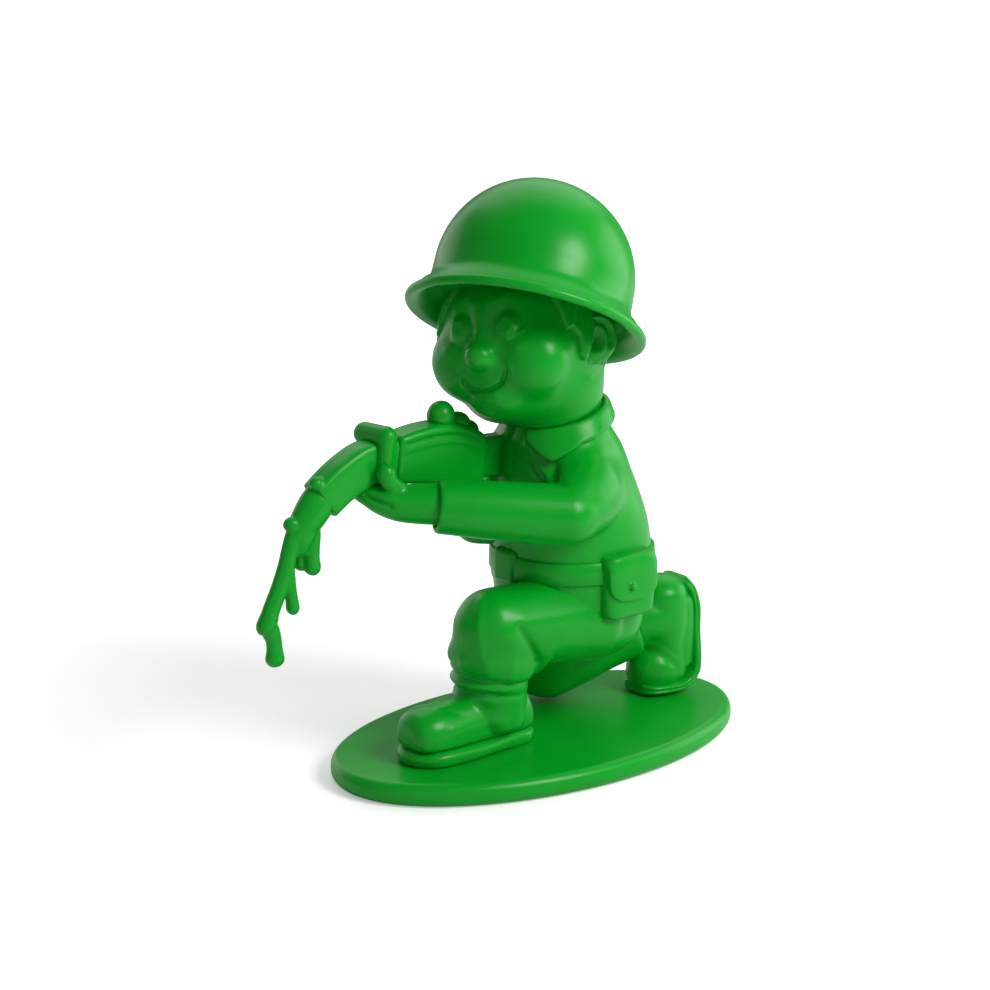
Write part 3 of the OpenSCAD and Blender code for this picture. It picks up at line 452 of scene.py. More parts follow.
def bent_sole():
    at = curve(bent_sole_rows, 8)
    rings = []
    for j, r in enumerate(at):
        q = at[min(j + 1, len(at) - 1)] - at[max(j - 1, 0)]
        rise = np.cross(unit((0, q[0], q[1])), SIDE)
        wave = 0.5 * np.sin(j / len(at) * 19) * (r[1] > 0.08)
        middle = (sole_toe[0], sole_toe[1] + r[0] * boot_l + sole_ahead + wave, base_t + sole_t / 2 + r[1] * boot_l)
        rings.append(ring(middle, SIDE, rise, r[2] * boot_w / 2, sole_t / 2 * 0.82, 48, 0.6))
    return tube(rings)


def make_right_sole():
    obj = fused([bent_sole()], 0.5, 8)
    x, y, z = points_of(obj).T
    path = curve([[r[0] * boot_l + sole_ahead, base_t + sole_t / 2 + r[1] * boot_l] for r in bent_sole_rows], 6)
    gap = nearness(np.column_stack([y - sole_toe[1], z]), path)
    push(obj, -0.75 * bell(gap, 0, 0.55) * step_up(np.abs(x - sole_toe[0]), boot_w * 0.2, boot_w * 0.36))
    return obj


ankle_strokes = [
    ([(13, 9, -6), (11, 2, -1), (6, -3, 1.5)], 1.6, -1.0),
    ([(13, 10, -2), (11, 2, 4), (6, -2, 6)], 1.5, -0.7),
]


def make_right_boot():
    toe = sole_toe + np.array([0, boot_l * 0.19, sole_t + toe_h * 0.15])
    heel = sole_toe + np.array([0, boot_l * 0.235, sole_t + boot_l * 0.6])
    ankle = sole_toe + np.array([0, boot_l * 0.08, boot_l * 0.32])
    parts = [
        egg(toe + np.array([0, 0, toe_h * 0.1]), (boot_w * 0.46, boot_l * 0.21, toe_h * 0.95)),
        limb(toe + np.array([0, boot_l * 0.06, 0]), heel, boot_w * 0.9, boot_w * 0.94, swell=(1, 0.93, 1.02, 1),
             cap_a=0.5, cap_b=0.7, up=BACK),
        limb(toe + np.array([0, boot_l * 0.16, 4]), heel + np.array([0, boot_l * 0.1, -4]), boot_w * 0.82,
             boot_w * 0.84, cap_a=0.4, cap_b=0.7, up=BACK),
        limb(hem_right, ankle_right, shin_w * 0.86, shin_w * 0.92, swell=(1, 1.03, 1), cap_a=0.1, cap_b=0.5),
    ]
    obj = fused(parts, 0.6, 12)
    strokes(obj, ankle_strokes, ankle, (1, -1))
    smooth(obj, 2)
    return obj


# Trousers

# Folds gathered at the hem: degrees round it from the front, height.
gather_rows = [(-95, 0.8), (-60, 1), (-24, 0.9), (12, 1.2), (48, 0.9), (82, 1.1), (118, 0.8)]
trouser_strokes = [
    ([(29.5, -32.6, 67), (30.2, -29, 61), (28.4, -24.6, 55), (26.6, -21, 49.6)], 2.0, -1.3),
    ([(28, -38, 64), (27.8, -33.6, 57), (26, -29.6, 51)], 3.2, 0.5),
    ([(15.6, -43, 79), (19.3, -46.8, 73.3), (21.3, -48.4, 67.9), (21.9, -48.4, 61.5), (21.4, -47.4, 55.4)], 1.9, 0.7),
    ([(32, -30, 70), (34, -14, 70), (35, 2, 72)], 5, 0.9),
]


def make_trousers():
    parts = [
        limb(hip_left, knee_left, thigh_w, knee_w, swell=(1, 1.03, 1), cap_a=0.6, cap_b=0.9),
        limb(knee_left, hem_left + np.array([0, 0, -0.6]), knee_w * 0.98, hem_w, swell=(1, 1, 1.07, 1.05),
             cap_a=0.9, cap_b=0.14, up=BACK),
        limb(hip_right, knee_right, thigh_w, knee_w, swell=(1, 1.02, 1), cap_a=0.6, cap_b=0.85, up=BACK),
        limb(knee_right, hem_right, knee_w * 0.95, shin_w, swell=(1, 1.02, 1.0, 1.05), cap_a=0.8, cap_b=0.15),
        egg(torso_foot + np.array([0, torso_d * 0.04, -torso_h * 0.05]),
            (torso_w * 0.44, torso_d * 0.42, torso_h * 0.24)),
    ]
    obj = fused(parts, 0.77, 18)
    soften(obj, mix(hip_left, knee_left, 0.5) + np.array([8, 4, 0]), 26, 120)
    soften(obj, knee_left, 15, 40)
    points = points_of(obj)
    shin = step_up(points[:, 0], -8, -5) * step_up(-points[:, 1], 12, 17)
    low = (1 - step_up(points[:, 2], 44, 60)) * shin
    points[:, 2] += low * 0.3 * (hem_left[1] - points[:, 1])
    set_points(obj, points)
    x, y, z = (points_of(obj) - hem_left).T
    low = (1 - step_up(z, 6, 16)) * shin
    turn = np.degrees(np.arctan2(x, -y))
    gathers = sum(rise * bell(turn, at, 7) for at, rise in gather_rows)
    push(obj, gathers * 0.65 * low * bell(z + 0.3 * y * 0.5, 1.5, 7))
    strokes(obj, trouser_strokes)
    smooth(obj, 3)
    return obj


# Jacket

# The jacket from its hem to its neck: height, way back, half width, half depth.
torso_rows = [
    [0, 0.01, 0.485, 0.485], [0.1, 0.01, 0.5, 0.505], [0.2, 0, 0.495, 0.51], [0.31, -0.005, 0.485, 0.505],
    [0.42, -0.02, 0.485, 0.492], [0.54, -0.045, 0.475, 0.462], [0.7, -0.085, 0.45, 0.41],
    [0.82, -0.1, 0.405, 0.365], [0.91, -0.12, 0.35, 0.315], [1.03, -0.135, 0.27, 0.25]
]
jacket_strokes = [
    ([(19, -9.4, 138), (20.5, -8.6, 133), (21.6, -8.6, 129.6), (24.5, -10.4, 127.8)], 2.2, -1.9),
    ([(24.5, -10.4, 127.8), (27.6, -12.2, 127.9), (33, -12.6, 127)], 1.8, -0.7),
    ([(5.9, -10.4, 138), (10.5, -10.2, 134), (14.4, -9.8, 130.6), (18, -9.6, 127.6)], 2.2, 1.0),
    ([(8, -11, 132.4), (12.4, -10.6, 128.6), (16, -10.4, 125.6)], 1.6, -0.8),
    ([(-2, -10, 136), (-1, -13.4, 126), (0, -14.4, 112), (0, -14.8, 98), (0, -14.7, 90)], 0.8, -0.8),
]


def torso_ring(t, grow=0.0, n=SIDES):
    """Ring of the jacket at a share of its table, grown outwards."""
    r = spline(torso_rows, t * (len(torso_rows) - 1))
    return ring(torso_foot + np.array([0, r[1] * torso_d, r[0] * torso_h]), SIDE, BACK,
                r[2] * torso_w + grow, r[3] * torso_d + grow, n, 0.95)


def sleeve(shoulder, elbow, cuff):
    end = cuff + unit(cuff - elbow) * sleeve_past
    return [
        limb(shoulder, elbow, shoulder_w, elbow_w, swell=(1, 1.04, 1), cap_a=0.6, cap_b=0.85),
        limb(elbow, end, elbow_w, cuff_w + 2.2 * cuff_t, swell=(1, 1.03, 1.01), cap_a=0.9, cap_b=0, steps=24),
    ]


def make_jacket():
    body = tube([torso_ring(t) for t in np.linspace(0, 0.97, 60)])
    arms = ((1, shoulder_left, elbow_left, cuff_left), (-1, shoulder_right, elbow_right, cuff_right))
    obj = fused([body] + sum((sleeve(*arm[1:]) for arm in arms), []), 0.8, 8)
    for side, shoulder, elbow, _ in arms:
        soften(obj, shoulder + np.array([side * 2, 2, 13]), 24, 400)
        soften(obj, shoulder + np.array([side * 8, 10, 2]), 22, 300)
        soften(obj, elbow + np.array([side * 2, 8, -2]), 17, 120)
        soften(obj, shoulder + np.array([side * 12, 8, 4.5]), 17, 300)
    for _, _, elbow, cuff in arms:
        way = unit(cuff - elbow)
        hollow = limb(cuff - way * 2.6, cuff + way * 4, cuff_w * 0.9, cuff_w * 0.94, cap_a=0, cap_b=0, steps=2)
        carved(obj, hollow)
    obj = fused([obj], 0.7, 4)
    strokes(obj, jacket_strokes)
    smooth(obj, 3)
    return obj


def make_belt():
    """A hoop over the jacket's table between two shares of it."""
    low, high = 4 / 18, 6 / 18
    rows = [(low, -1), (low, belt_t - 0.5), (mix(low, high, 0.06), belt_t), (mix(low, high, 0.94), belt_t),
            (high, belt_t - 0.5), (high, -1)]
    return band_of([torso_ring(t, grow, 128) for t, grow in rows])


def make_buckle():
    only()
    bpy.ops.mesh.primitive_cube_add(size=1, scale=(buckle_w * MM, buckle_t * MM, buckle_h * MM))
    obj = bpy.context.object
    bpy.ops.object.transform_apply(location=True, rotation=True, scale=True)
    change(obj, "BEVEL", width=buckle_edge * MM, segments=6, limit_method="ANGLE", angle_limit=np.radians(30))
    set_points(obj, points_of(obj) + (belt_front + np.array([buckle_aside, 0, 0])))
    return obj


# Pouches

# A pouch from its bottom to its top: height, width.
pouch_rows = [[0, 0.78], [0.05, 0.95], [0.16, 1], [0.5, 1.02], [0.84, 0.99], [0.95, 0.93], [1, 0.78]]


def pouch(l, t, h, grow, spot, passes):
    """A soft box, grown outwards on its sides and top."""
    rings = []
    for r in curve(pouch_rows, 4):
        z = h * (r[0] - 0.5) + (grow if r[0] > 0.95 else 0)
        rings.append(spot.level(z, l / 2 * r[1] + grow, t / 2 * r[1] + grow, bend=0.5))
    return fused([tube(rings)], 0.5, passes)


def make_hip_pouch():
    return pouch(pouch_l * pouch_share, pouch_t, pouch_h, 0, pouch_spot, 36)


def make_flap():
    """A lid with a rounded tongue over the pouch's outer side."""
    shell = pouch(pouch_l * pouch_share, pouch_t, pouch_h, flap_t, pouch_spot, 24)
    half, low, fall, lid_z = pouch_l * 0.45, pouch_h * 0.1, pouch_h * 0.3, pouch_h * 0.44
    tongue = [(half * bent(np.cos(v), 0.75), low - fall * bent(np.sin(v), 0.85))
              for v in np.radians(np.linspace(0, 180, 33))]
    tongue = [(half, pouch_h)] + tongue + [(-half, pouch_h)]
    wide = half * 1.2
    lid = [(wide, pouch_h), (wide, lid_z), (-wide, lid_z), (-wide, pouch_h)]
    plates = [tube([pouch_spot.out([(x, y, z) for x, z in outline]) for y in (-pouch_t * 1.4, end)])
              for outline, end in ((tongue, pouch_t * 0.1), (lid, pouch_t * 1.4))]
    carved(shell, fused(plates, 0.6, 6), "INTERSECT")
    stud = egg((-pouch_l * 0.1, -pouch_t / 2 - flap_t - 0.4, pouch_h * 0.05), (1.8, 1.9, 1.8), pouch_spot)
    return fused([shell, stud], 0.42, 8)


def make_front_pouch():
    return pouch(small_pouch_l, small_pouch_t, small_pouch_h, 0, small_pouch_spot, 6)


# Collar

def make_collar():
    """A fold-down collar with two points, open in front."""
    opening, tip_at, inner = 17, 42, neck_d / 2 + turn_gap
    rings = []
    for w in np.linspace(360 - opening, opening, 121):
        v = min(w, 360 - w)
        fold = mix(0.25, 1, (v - opening) / (tip_at - opening)) if v < tip_at else 1
        tip = max(0, 1 - abs(v - tip_at) / 30)
        drop = collar_drop * (0.6 * fold + tip * 0.5)
        flare = mix(0.8, 0.08, (1 - np.cos(np.radians(w))) / 2)
        wide = inner + collar_t + (collar_drop * flare + tip * collar_t) * fold
        way = np.array([np.sin(np.radians(w)), -np.cos(np.radians(w)), 0])
        up = np.array(UP)
        rings.append(neck_spot.out([
            way * inner - up * drop, way * (wide - collar_t) - up * (drop + collar_t / 2), way * wide - up * drop,
            way * (wide + collar_t * 0.2) - up * (drop - collar_t * 0.6),
            way * (inner + collar_t * 1.3) + up * (collar_h * 0.55),
            way * (inner + collar_t * 0.9) + up * (collar_h * 0.92),
            way * (inner + collar_t * 0.4) + up * collar_h, way * inner + up * (collar_h * 0.8)]))
    return fused([tube(rings)], 0.4, 6)


# Hands

def palm(cuff, middle):
    return limb(mix(cuff, middle, -0.25), middle, palm_t * 0.95, palm_t * 1.25, swell=(1, 1, 1.05, 1), thin=0.82,
                cap_a=0.1, cap_b=0.6)


# The hand under the rifle: places along the palm, the thumb and three fingers, and their widths.
mitt_rows = [[10.5, -52, 119.6, 17], [6, -59.1, 120.8, 17], [1, -66.2, 121.3, 16.6], [-3, -72.4, 122, 15.4],
             [-7, -78, 123.4, 12.4], [-11, -81.4, 125.2, 9.6], [-16, -81.5, 126, 8.6], [-20.5, -80, 127.6, 7]]
thumb_rows = [[-0.5, -66.5, 123.6, 9.6], [-1.8, -72, 127, 8.6], [-2.6, -76, 131, 7.8], [-3.2, -78, 135.6, 8.4]]
finger_rows = [
    [[-3, -71, 119.5, 8.6], [-9, -74.2, 119.9, 8.2], [-15.6, -74.6, 121.2, 7.8], [-21, -73, 125.2, 6.6]],
    [[-3, -63.5, 118, 8.6], [-9, -66.5, 118.2, 8.2], [-15.4, -67, 119.8, 7.8], [-21, -65.6, 123.8, 6.6]],
    [[-1, -57.8, 116.6, 8], [-7.5, -60, 117, 7.6], [-13.6, -60.4, 118.8, 7.2], [-18.6, -59, 122.8, 6]],
]
grip_rows = np.array([[-0.2, -0.4, 0], [0.35, -0.55, 0.02], [0.85, -0.35, 0.02]])
hand_strokes = [
    ([(-4.5, -78.6, 128.5), (-3.6, -76, 126.4), (0.6, -72.4, 123.8)], 1.1, -1.6),
    ([(-8, -86, 126.8), (-3.6, -83, 124.6), (0.4, -78.6, 122.6)], 1.2, -1.5),
    ([(-8, -85.5, 128.6), (-3.4, -82, 126.6), (0.8, -77.4, 125.2)], 1.4, 0.6),
    ([(0.6, -66.2, 129.6), (3, -63, 129.2), (6, -58.6, 129)], 1.6, 0.7),
]


def finger(rows):
    rows = np.array(rows)
    return capsule(rows[:, :3], rows[:, 3])


def make_left_hand():
    """A cupped hand: the palm under the rifle, the thumb up its near side."""
    obj = fused([finger(rows) for rows in [mitt_rows, thumb_rows] + finger_rows], 0.42, 16)
    strokes(obj, hand_strokes)
    smooth(obj, 2)
    return obj


def make_right_hand():
    d = finger_d
    parts = [palm(cuff_right, palm_right)]
    for k in range(4):
        knuckle = palm_right + palm_t * np.array([0, 0, 0.4 * k - 0.32])
        parts.append(capsule(knuckle + palm_t * grip_rows, (d, d, 0.85 * d)))
    return fused(parts, 0.45, 6)


# Rifle

def slab(points, w, soft):
    """A side outline of back, up points as a plate across the rifle."""
    points = np.asarray(points, float)
    rings = [np.column_stack([np.full(len(points), x), points]) for x in (-w / 2, w / 2)]
    obj = tube(rings)
    change(obj, "BEVEL", width=soft * MM, segments=5, limit_method="ANGLE", angle_limit=np.radians(30))
    set_points(obj, rifle_spot.out(points_of(obj)))
    return obj


def make_receiver():
    """The receiver with its ridges, the stock behind it and the grip below."""
    back, high = receiver_l, receiver_h
    t = np.arange(1, 25) / 24
    top = np.column_stack([-back * t, high * (0.34 + 0.34 * np.sin(np.radians(150 * t ** 0.7)) - 0.06 * t)])
    outline = np.concatenate([[[0, -high * 0.52], [0, high * 0.34]], top, [[-back, -high * 0.42]]])
    stock = [[torso_d * 0.32, -stock_h * 0.62], [torso_d * 0.32, stock_h * 0.5], [0, stock_h * 0.42],
             [0, -stock_h * 0.5]]
    grip = [[back * 0.1, -high * 0.4], [-back * 0.1, -high * 0.52], [back * 0.02, -high * 1.4],
            [back * 0.2, -high * 1.4]]
    obj = fused([slab(outline, receiver_w, 3), slab(stock, stock_w, 1.2), slab(grip, stock_w, 1.4)], 0.5, 14)
    local = rifle_spot.into(points_of(obj))
    y, z = local[:, 1], local[:, 2]
    height = z - high * 0.34 * np.sin(np.radians(150 * np.clip(-y / back, 0, 1) ** 0.7))
    along = step_up(-y, 1, 6) * (1 - step_up(-y, back * 0.9, back))
    flank = step_up(np.abs(local[:, 0]), receiver_w * 0.3, receiver_w * 0.42)
    ridges = 0.35 * bell(height, 4.4, 1.3) - 0.4 * bell(height, 2.2, 1.1) + 0.3 * bell(height, 0, 1.4)
    push(obj, ridges * along * flank)
    smooth(obj, 2)
    return obj


# The handguard from the band to its front: share of its length, rise, width.
guard_rows = [
    [0, 0.02, 1], [0.2, 0.02, 1], [0.42, -0.1, 1], [0.64, -0.34, 0.98], [0.82, -0.6, 0.96], [1, -0.92, 0.94]
]


def make_guard():
    rings = []
    for j in range(41):
        t = j / 8
        r = spline(guard_rows, t)
        q = spline(guard_rows, min(t + 0.2, 5)) - spline(guard_rows, max(t - 0.2, 0))
        rise = np.cross(unit((0, -q[0] * guard_l, q[1] * guard_h)), SIDE)
        middle = (0, -receiver_l - r[0] * guard_l * guard_share, r[1] * guard_h * 0.96)
        outline = ring(middle, SIDE, rise, receiver_w * 0.5 * r[2], guard_h * 0.5 * r[2], bend=0.4)
        rings.append(rifle_spot.out(outline))
    knob = egg((2, -receiver_l - guard_l * 1.04, -guard_h * 0.44), (3.4, 3.2, 3.2), rifle_spot)
    return fused([tube(rings), knob], 0.5, 16)


def make_band():
    """A band round the handguard, its lug over the top and down the near side."""
    rings = []
    for z, s in curve([[-0.56, 0.4], [-0.42, 0.9], [0, 1.15], [0.42, 0.9], [0.56, 0.4]], 4):
        middle = (0, band_middle - z * band_t, guard_h * 0.03)
        rings.append(rifle_spot.out(ring(middle, SIDE, UP, receiver_w / 2 + band_lip_t * s,
                                         guard_h / 2 + band_lip_t * s, bend=0.5)))
    y, z = band_middle, guard_h * 0.5 + band_lip_t
    far, near, foot = rifle_spot.out([(-receiver_w * 0.6, y - 1.4, z - 0.8), (receiver_w * 0.5, y - 1.4, z + 0.4),
                                      (receiver_w * 0.46, y - 1.6, z - 13)])
    parts = [tube(rings), limb(far, near, 9.8, 9.2, cap_a=0.9, cap_b=0.9), limb(near, foot, 9.6, 9.2, thin=0.84)]
    return fused(parts, 0.4, 18)


melt_root = rifle_rear + np.array([0, -receiver_l - guard_l * 0.95, -guard_h * 0.4])
# Strands from the root: way forward, rise, width.
melt_rows = [
    [-0.14, 0.09, 1.2], [-0.06, 0.062, 1.75], [0.02, -0.005, 1.9], [0.085, -0.08, 1.85], [0.15, -0.155, 1.6],
    [0.215, -0.225, 1.1], [0.255, -0.308, 0.92], [0.281, -0.398, 0.93], [0.339, -0.539, 0.93], [0.406, -0.677, 0.95],
    [0.432, -0.76, 1.0], [0.41, -0.82, 0.98], [0.39, -0.88, 0.86], [0.384, -0.948, 0.88], [0.383, -1.015, 1.04],
    [0.384, -1.05, 0.72], [0.384, -1.065, 0.3]
]
drip_one_rows = [[0.12, -0.1, 1.5], [0.082, -0.2, 1.4], [0.078, -0.3, 1.2], [0.08, -0.38, 1.18], [0.074, -0.44, 1.25],
                 [0.071, -0.475, 0.95], [0.071, -0.495, 0.4]]
drip_back_rows = [[0.15, -0.2, 1.1], [0.14, -0.31, 1.0], [0.13, -0.39, 1.05], [0.128, -0.435, 1.0],
                  [0.127, -0.465, 0.4]]
drip_two_rows = [[0.28, -0.42, 1.2], [0.255, -0.55, 0.95], [0.24, -0.64, 0.92], [0.234, -0.69, 0.98],
                 [0.232, -0.72, 0.7], [0.232, -0.737, 0.3]]
node_rows = [[0.17, -0.14, 1.2], [0.235, -0.124, 0.86], [0.262, -0.118, 0.7], [0.284, -0.114, 0.4]]
lump_rows = [[0.41, -0.7, 0.95], [0.45, -0.77, 0.98], [0.468, -0.805, 0.8], [0.478, -0.83, 0.4]]
web_rows = [[0.1, -0.1, 1.5], [0.15, -0.2, 1.6], [0.165, -0.28, 1.25], [0.168, -0.33, 0.8], [0.17, -0.35, 0.3]]


def melted(rows, d, thin=1.0, aside=0):
    """One strand, its widths counted in d."""
    rows = np.asarray(rows, float)
    places = melt_root + np.column_stack([np.zeros(len(rows)), -rows[:, 0] * melt_fall, rows[:, 1] * melt_fall])
    places[:, 0] += aside
    return strand(np.column_stack([places, rows[:, 2] * d]), thin)


def make_melt():
    """The barrel run down into a forked strand with drips."""
    parts = [melted(melt_rows, strand_d, 0.86), melted(node_rows, strand_d), melted(lump_rows, strand_d),
             melted(web_rows, strand_d, 0.8), melted(drip_one_rows, drip_d), melted(drip_two_rows, drip_d),
             melted(drip_back_rows, drip_d, aside=-3.4)]
    return fused(parts, 0.4, 12)


# Lumps of the rear sight: way forward, height, half sizes.
sight_rows = [(0.46, 0.76, 0.42, 0.44, 0.46), (0.26, 0.6, 0.38, 0.4, 0.36), (0.14, 0.45, 0.34, 0.36, 0.34)]


def make_sight():
    lumps = [egg((0, -receiver_l * y, receiver_h * z), (receiver_w * a, receiver_w * b, receiver_w * c), rifle_spot)
             for y, z, a, b, c in sight_rows]
    return fused(lumps, 0.4, 6)


# Head

# The skull from its chin to its top: height, way back, half width, half depth.
head_rows = [
    [-0.44, -0.02, 0.1, 0.1], [-0.43, -0.02, 0.19, 0.19], [-0.38, 0.015, 0.3, 0.3], [-0.29, 0.03, 0.38, 0.385],
    [-0.17, 0, 0.44, 0.435], [-0.04, 0.005, 0.485, 0.48], [0.1, 0.02, 0.485, 0.495], [0.25, 0.04, 0.46, 0.475],
    [0.38, 0.06, 0.38, 0.4], [0.48, 0.07, 0.24, 0.26], [0.53, 0.07, 0.08, 0.09]
]

# Brow, lid, cheekbone, smile, lip, both ends of the smile, fold beside the nose: line, reach, amount, both sides.
face_strokes = [
    ([(3.4, 16.4), (9.5, 19.2), (17, 16.6)], 2.6, 0.7, True),
    ([(12.5, 1), (15.6, 2.2), (18.4, 4)], 1.1, 0.55, False),
    ([(15.2, -1.8), (16.6, -2.8)], 3.4, 0.9, True),
    ([(10.4, -11.8), (8.2, -15.6), (4.6, -18.8), (-2.4, -20.6), (-8.4, -19.6), (-11.2, -17.4), (-12, -15.4)],
     0.9, -2.0, False),
    ([(4, -23), (-2, -24.4), (-6, -23.6)], 2.0, 0.7, False),
    ([(11.4, -10.6), (12.6, -12.2)], 1.3, 0.8, False),
    ([(-12.6, -14), (-13.4, -16)], 1.3, 0.8, False),
    ([(6.8, -6), (9.2, -9.4), (12, -12.4)], 1.5, -0.5, True),
]


def skull():
    return tube([head_spot.level(r[0] * head_h, r[2] * head_w, r[3] * head_d, NECK_SIDES, y=r[1] * head_d)
                 for r in curve(head_rows, 5)])


def shape_eye(obj, side):
    """A soft oval eye in a shallow hollow."""
    local = face_spot.into(points_of(obj))
    x, z = local[:, 0] - side * eye_x, local[:, 2] - eye_z
    e = np.sqrt((x / eye_w) ** 2 + (z / eye_h) ** 2)
    front = step_up(-local[:, 1], 8, 14)
    hollow = -2.4 * np.exp(-((x + side * 2.8) / 5.6) ** 2 - ((z - 0.8) / 8.2) ** 2)
    dome = 2.8 * (1 - step_up(e, 0.4, 1.12))
    push(obj, (hollow + dome) * front)


def make_head():
    """Skull, chin, cheeks and jaw run together, then nose and neck, then the face's lines."""
    parts = [skull()]
    parts.append(egg((0, -head_d * 0.25, -head_h * 0.265), (head_w * 0.22, head_d * 0.16, head_h * 0.17), face_spot))
    parts += [egg((side * head_w * 0.215, -head_d * 0.25, -head_h * 0.085),
                  (head_w * 0.25, head_d * 0.2, head_h * 0.24), face_spot) for side in (-1, 1)]
    parts.append(limb(neck_spot.at(0, 0, collar_h), neck_spot.at(1, -2, 22), neck_d * 1.05, neck_d * 1.3,
                      cap_a=0, cap_b=0.2, n=NECK_SIDES))
    obj = fused(parts, 1.3, 30)
    for side in (-1, 1):
        soften(obj, face_spot.at(side * 25, -19, -13), 17, 70)
    nose = egg((-1, -head_d * 0.44, -head_h * 0.08), (nose_w * 0.56, nose_w * 0.62, nose_w * 0.5), face_spot)
    bridge = capsule(face_spot.out([(-0.4, -29, 7), (-0.6, -31, 2.5), (-0.8, -32, -2)]), (6, 7.4, 9))
    obj = fused([obj, nose, bridge], 0.6, 28)
    neck = limb(neck_spot.at(0, 0, turn_gap), neck_spot.at(0, 0, 24), neck_d, neck_d, cap_a=0, cap_b=0, n=NECK_SIDES)
    obj = fused([obj, neck], 0.57, 4)
    for side in (-1, 1):
        shape_eye(obj, side)
    for line in face_strokes:
        face_stroke(obj, *line)
    smooth(obj, 3)
    set_points(obj, under_helmet(points_of(obj)))
    low, high, far = -30, collar_h + turn_gap, 70
    room = [(neck_d / 2, low), (far, low), (far, high), (neck_d / 2, high)]
    return carved(obj, band_of([neck_spot.level(z, r, r, NECK_SIDES) for r, z in room]))


def make_ear(side):
    """An ear with its rim, bowl and lobe, standing off the head."""
    spot = Spot(head_spot.at(side * head_w * 0.485, head_d * 0.02, head_h * 0.035),
                head_spot.turn @ turned(0, side * 8, -side * 42))
    parts = [egg((0, 0, 0), (ear_t, ear_d, ear_h), spot), egg((-0.2 * side, -3.8, -8.6), (3.2, 4, 3.8), spot)]
    obj = fused(parts, 0.35, 5)
    local = spot.into(points_of(obj))
    y, z = local[:, 1], local[:, 2]
    e = np.sqrt((y / ear_d) ** 2 + (z / ear_h) ** 2)
    bowl = np.sqrt(((y + 1.4) / 5) ** 2 + ((z + 0.8) / 5.6) ** 2)
    move = 1.3 * bell(e, 0.84, 0.13) * (1 - step_up(-z, 4, 7)) * (1 - step_up(-y, 5, 8) * (z < 0))
    move -= 1.1 * bell(e, 0.6, 0.12) * step_up(z, -5, -1)
    move += 0.6 * bell(bowl, 1.08, 0.2) * step_up(y, -4, 0)
    move -= 3.4 * np.exp(-(bowl / 0.78) ** 2)
    move += 1.7 * np.exp(-(((y + 6) / 1.6) ** 2 + ((z + 1.2) / 2.3) ** 2))
    outside = step_up(local[:, 0] * side, -0.6, 0.8)
    set_points(obj, points_of(obj) + spot.turn[:, 0] * side * (move * outside)[:, None])
    smooth(obj, 3)
    return obj


# Outline of the hair seen from the side: way back, height.
hair_edge = np.array([(-20, 45), (-19.6, 17), (-18.3, 9), (-17, 4), (-14.4, 5), (-11.4, 2), (-9.6, -5), (-7, -8),
                      (-4.4, -5), (-2, 4), (4, 7), (8.5, -5), (10, -13), (15, -17), (60, -19), (60, 45)])


def under_helmet(points):
    """Points drawn in to stay within the helmet's shell."""
    local = helmet_spot.into(points)
    foot, room = helmet_h - dome_r, dome_r - shell_t
    rise = np.maximum(local[:, 2] - foot, 0)
    far = np.sqrt(local[:, 0] ** 2 + local[:, 1] ** 2 + rise ** 2)
    share = np.where(local[:, 2] > 0, np.minimum(1, room / np.maximum(far, 1)), 1)
    local[:, :2] *= share[:, None]
    local[:, 2] -= rise * (1 - share)
    return helmet_spot.out(local)


def inside_by(points, edge):
    """Distance inside a closed outline, negative outside."""
    x, y = points[:, 0], points[:, 1]
    inside = np.zeros(len(points), bool)
    for (x0, y0), (x1, y1) in zip(edge, np.roll(edge, -1, axis=0)):
        if y0 != y1:
            inside ^= ((y0 > y) != (y1 > y)) & (x < (x1 - x0) * (y - y0) / (y1 - y0) + x0)
    gap = nearness(points, np.concatenate([edge, edge[:1]]))
    return np.where(inside, gap, -gap)


def make_hair():
    """Combed hair over the skull, thin at its edge, with locks."""
    obj = fused([skull()], 0.55, 8)
    points, out = points_of(obj), normals_of(obj)
    local = head_spot.into(points)
    depth = inside_by(local[:, [1, 2]], hair_edge)
    lift = 4.7 / (1 + np.exp(-depth / 0.35)) - 2.3
    y, z = local[:, 1], local[:, 2]
    comb = y * 0.9 - z * 0.25 + 1.8 * np.sin(z / 6)
    behind = step_up(y, 2, 10)
    lift += (0.2 + 0.25 * behind) * np.sin(comb * 2 * np.pi / 3.6) * (depth > 0.4)
    set_points(obj, under_helmet(points + out * lift[:, None]))
    return obj


# Helmet

def make_helmet():
    """A section of radius and height turned round the helmet's upright."""
    foot = helmet_h - dome_r
    section = [(dome_r * np.cos(v), foot + dome_r * np.sin(v)) for v in np.radians(np.linspace(90, 0, 46))]
    section += [(dome_r * 1.005, foot * 0.62), (dome_r * 1.03, foot * 0.44), (dome_r * 1.1, foot * 0.3)]
    section += [(brim_r - lip_t / 2 + lip_t / 2 * np.cos(v), lip_t / 2 * np.sin(v))
                for v in np.radians(np.linspace(100, -80, 13))]
    section += [(dome_r * 1.08, -lip_t * 0.1), (dome_r * 0.99, brim_hollow_h * 0.5),
                (dome_r - shell_t, brim_hollow_h), (0, brim_hollow_h)]
    return tube([helmet_spot.level(z, r, r, 192) for r, z in section])


# Materials

class Tone:
    """A socket on its way to a surface. Values are worked on with plain sums."""

    def __init__(self, tree, socket):
        self.tree, self.socket = tree, socket

    def sum(self, kind, a, b):
        step = self.tree.nodes.new("ShaderNodeMath")
        step.operation = kind
        for i, v in enumerate((a, b)):
            if isinstance(v, Tone):
                self.tree.links.new(v.socket, step.inputs[i])
            else:
                step.inputs[i].default_value = v
        return Tone(self.tree, step.outputs[0])

    def __add__(self, o):
        return self.sum("ADD", self, o)

    def __radd__(self, o):
        return self.sum("ADD", o, self)

    def __mul__(self, o):
        return self.sum("MULTIPLY", self, o)


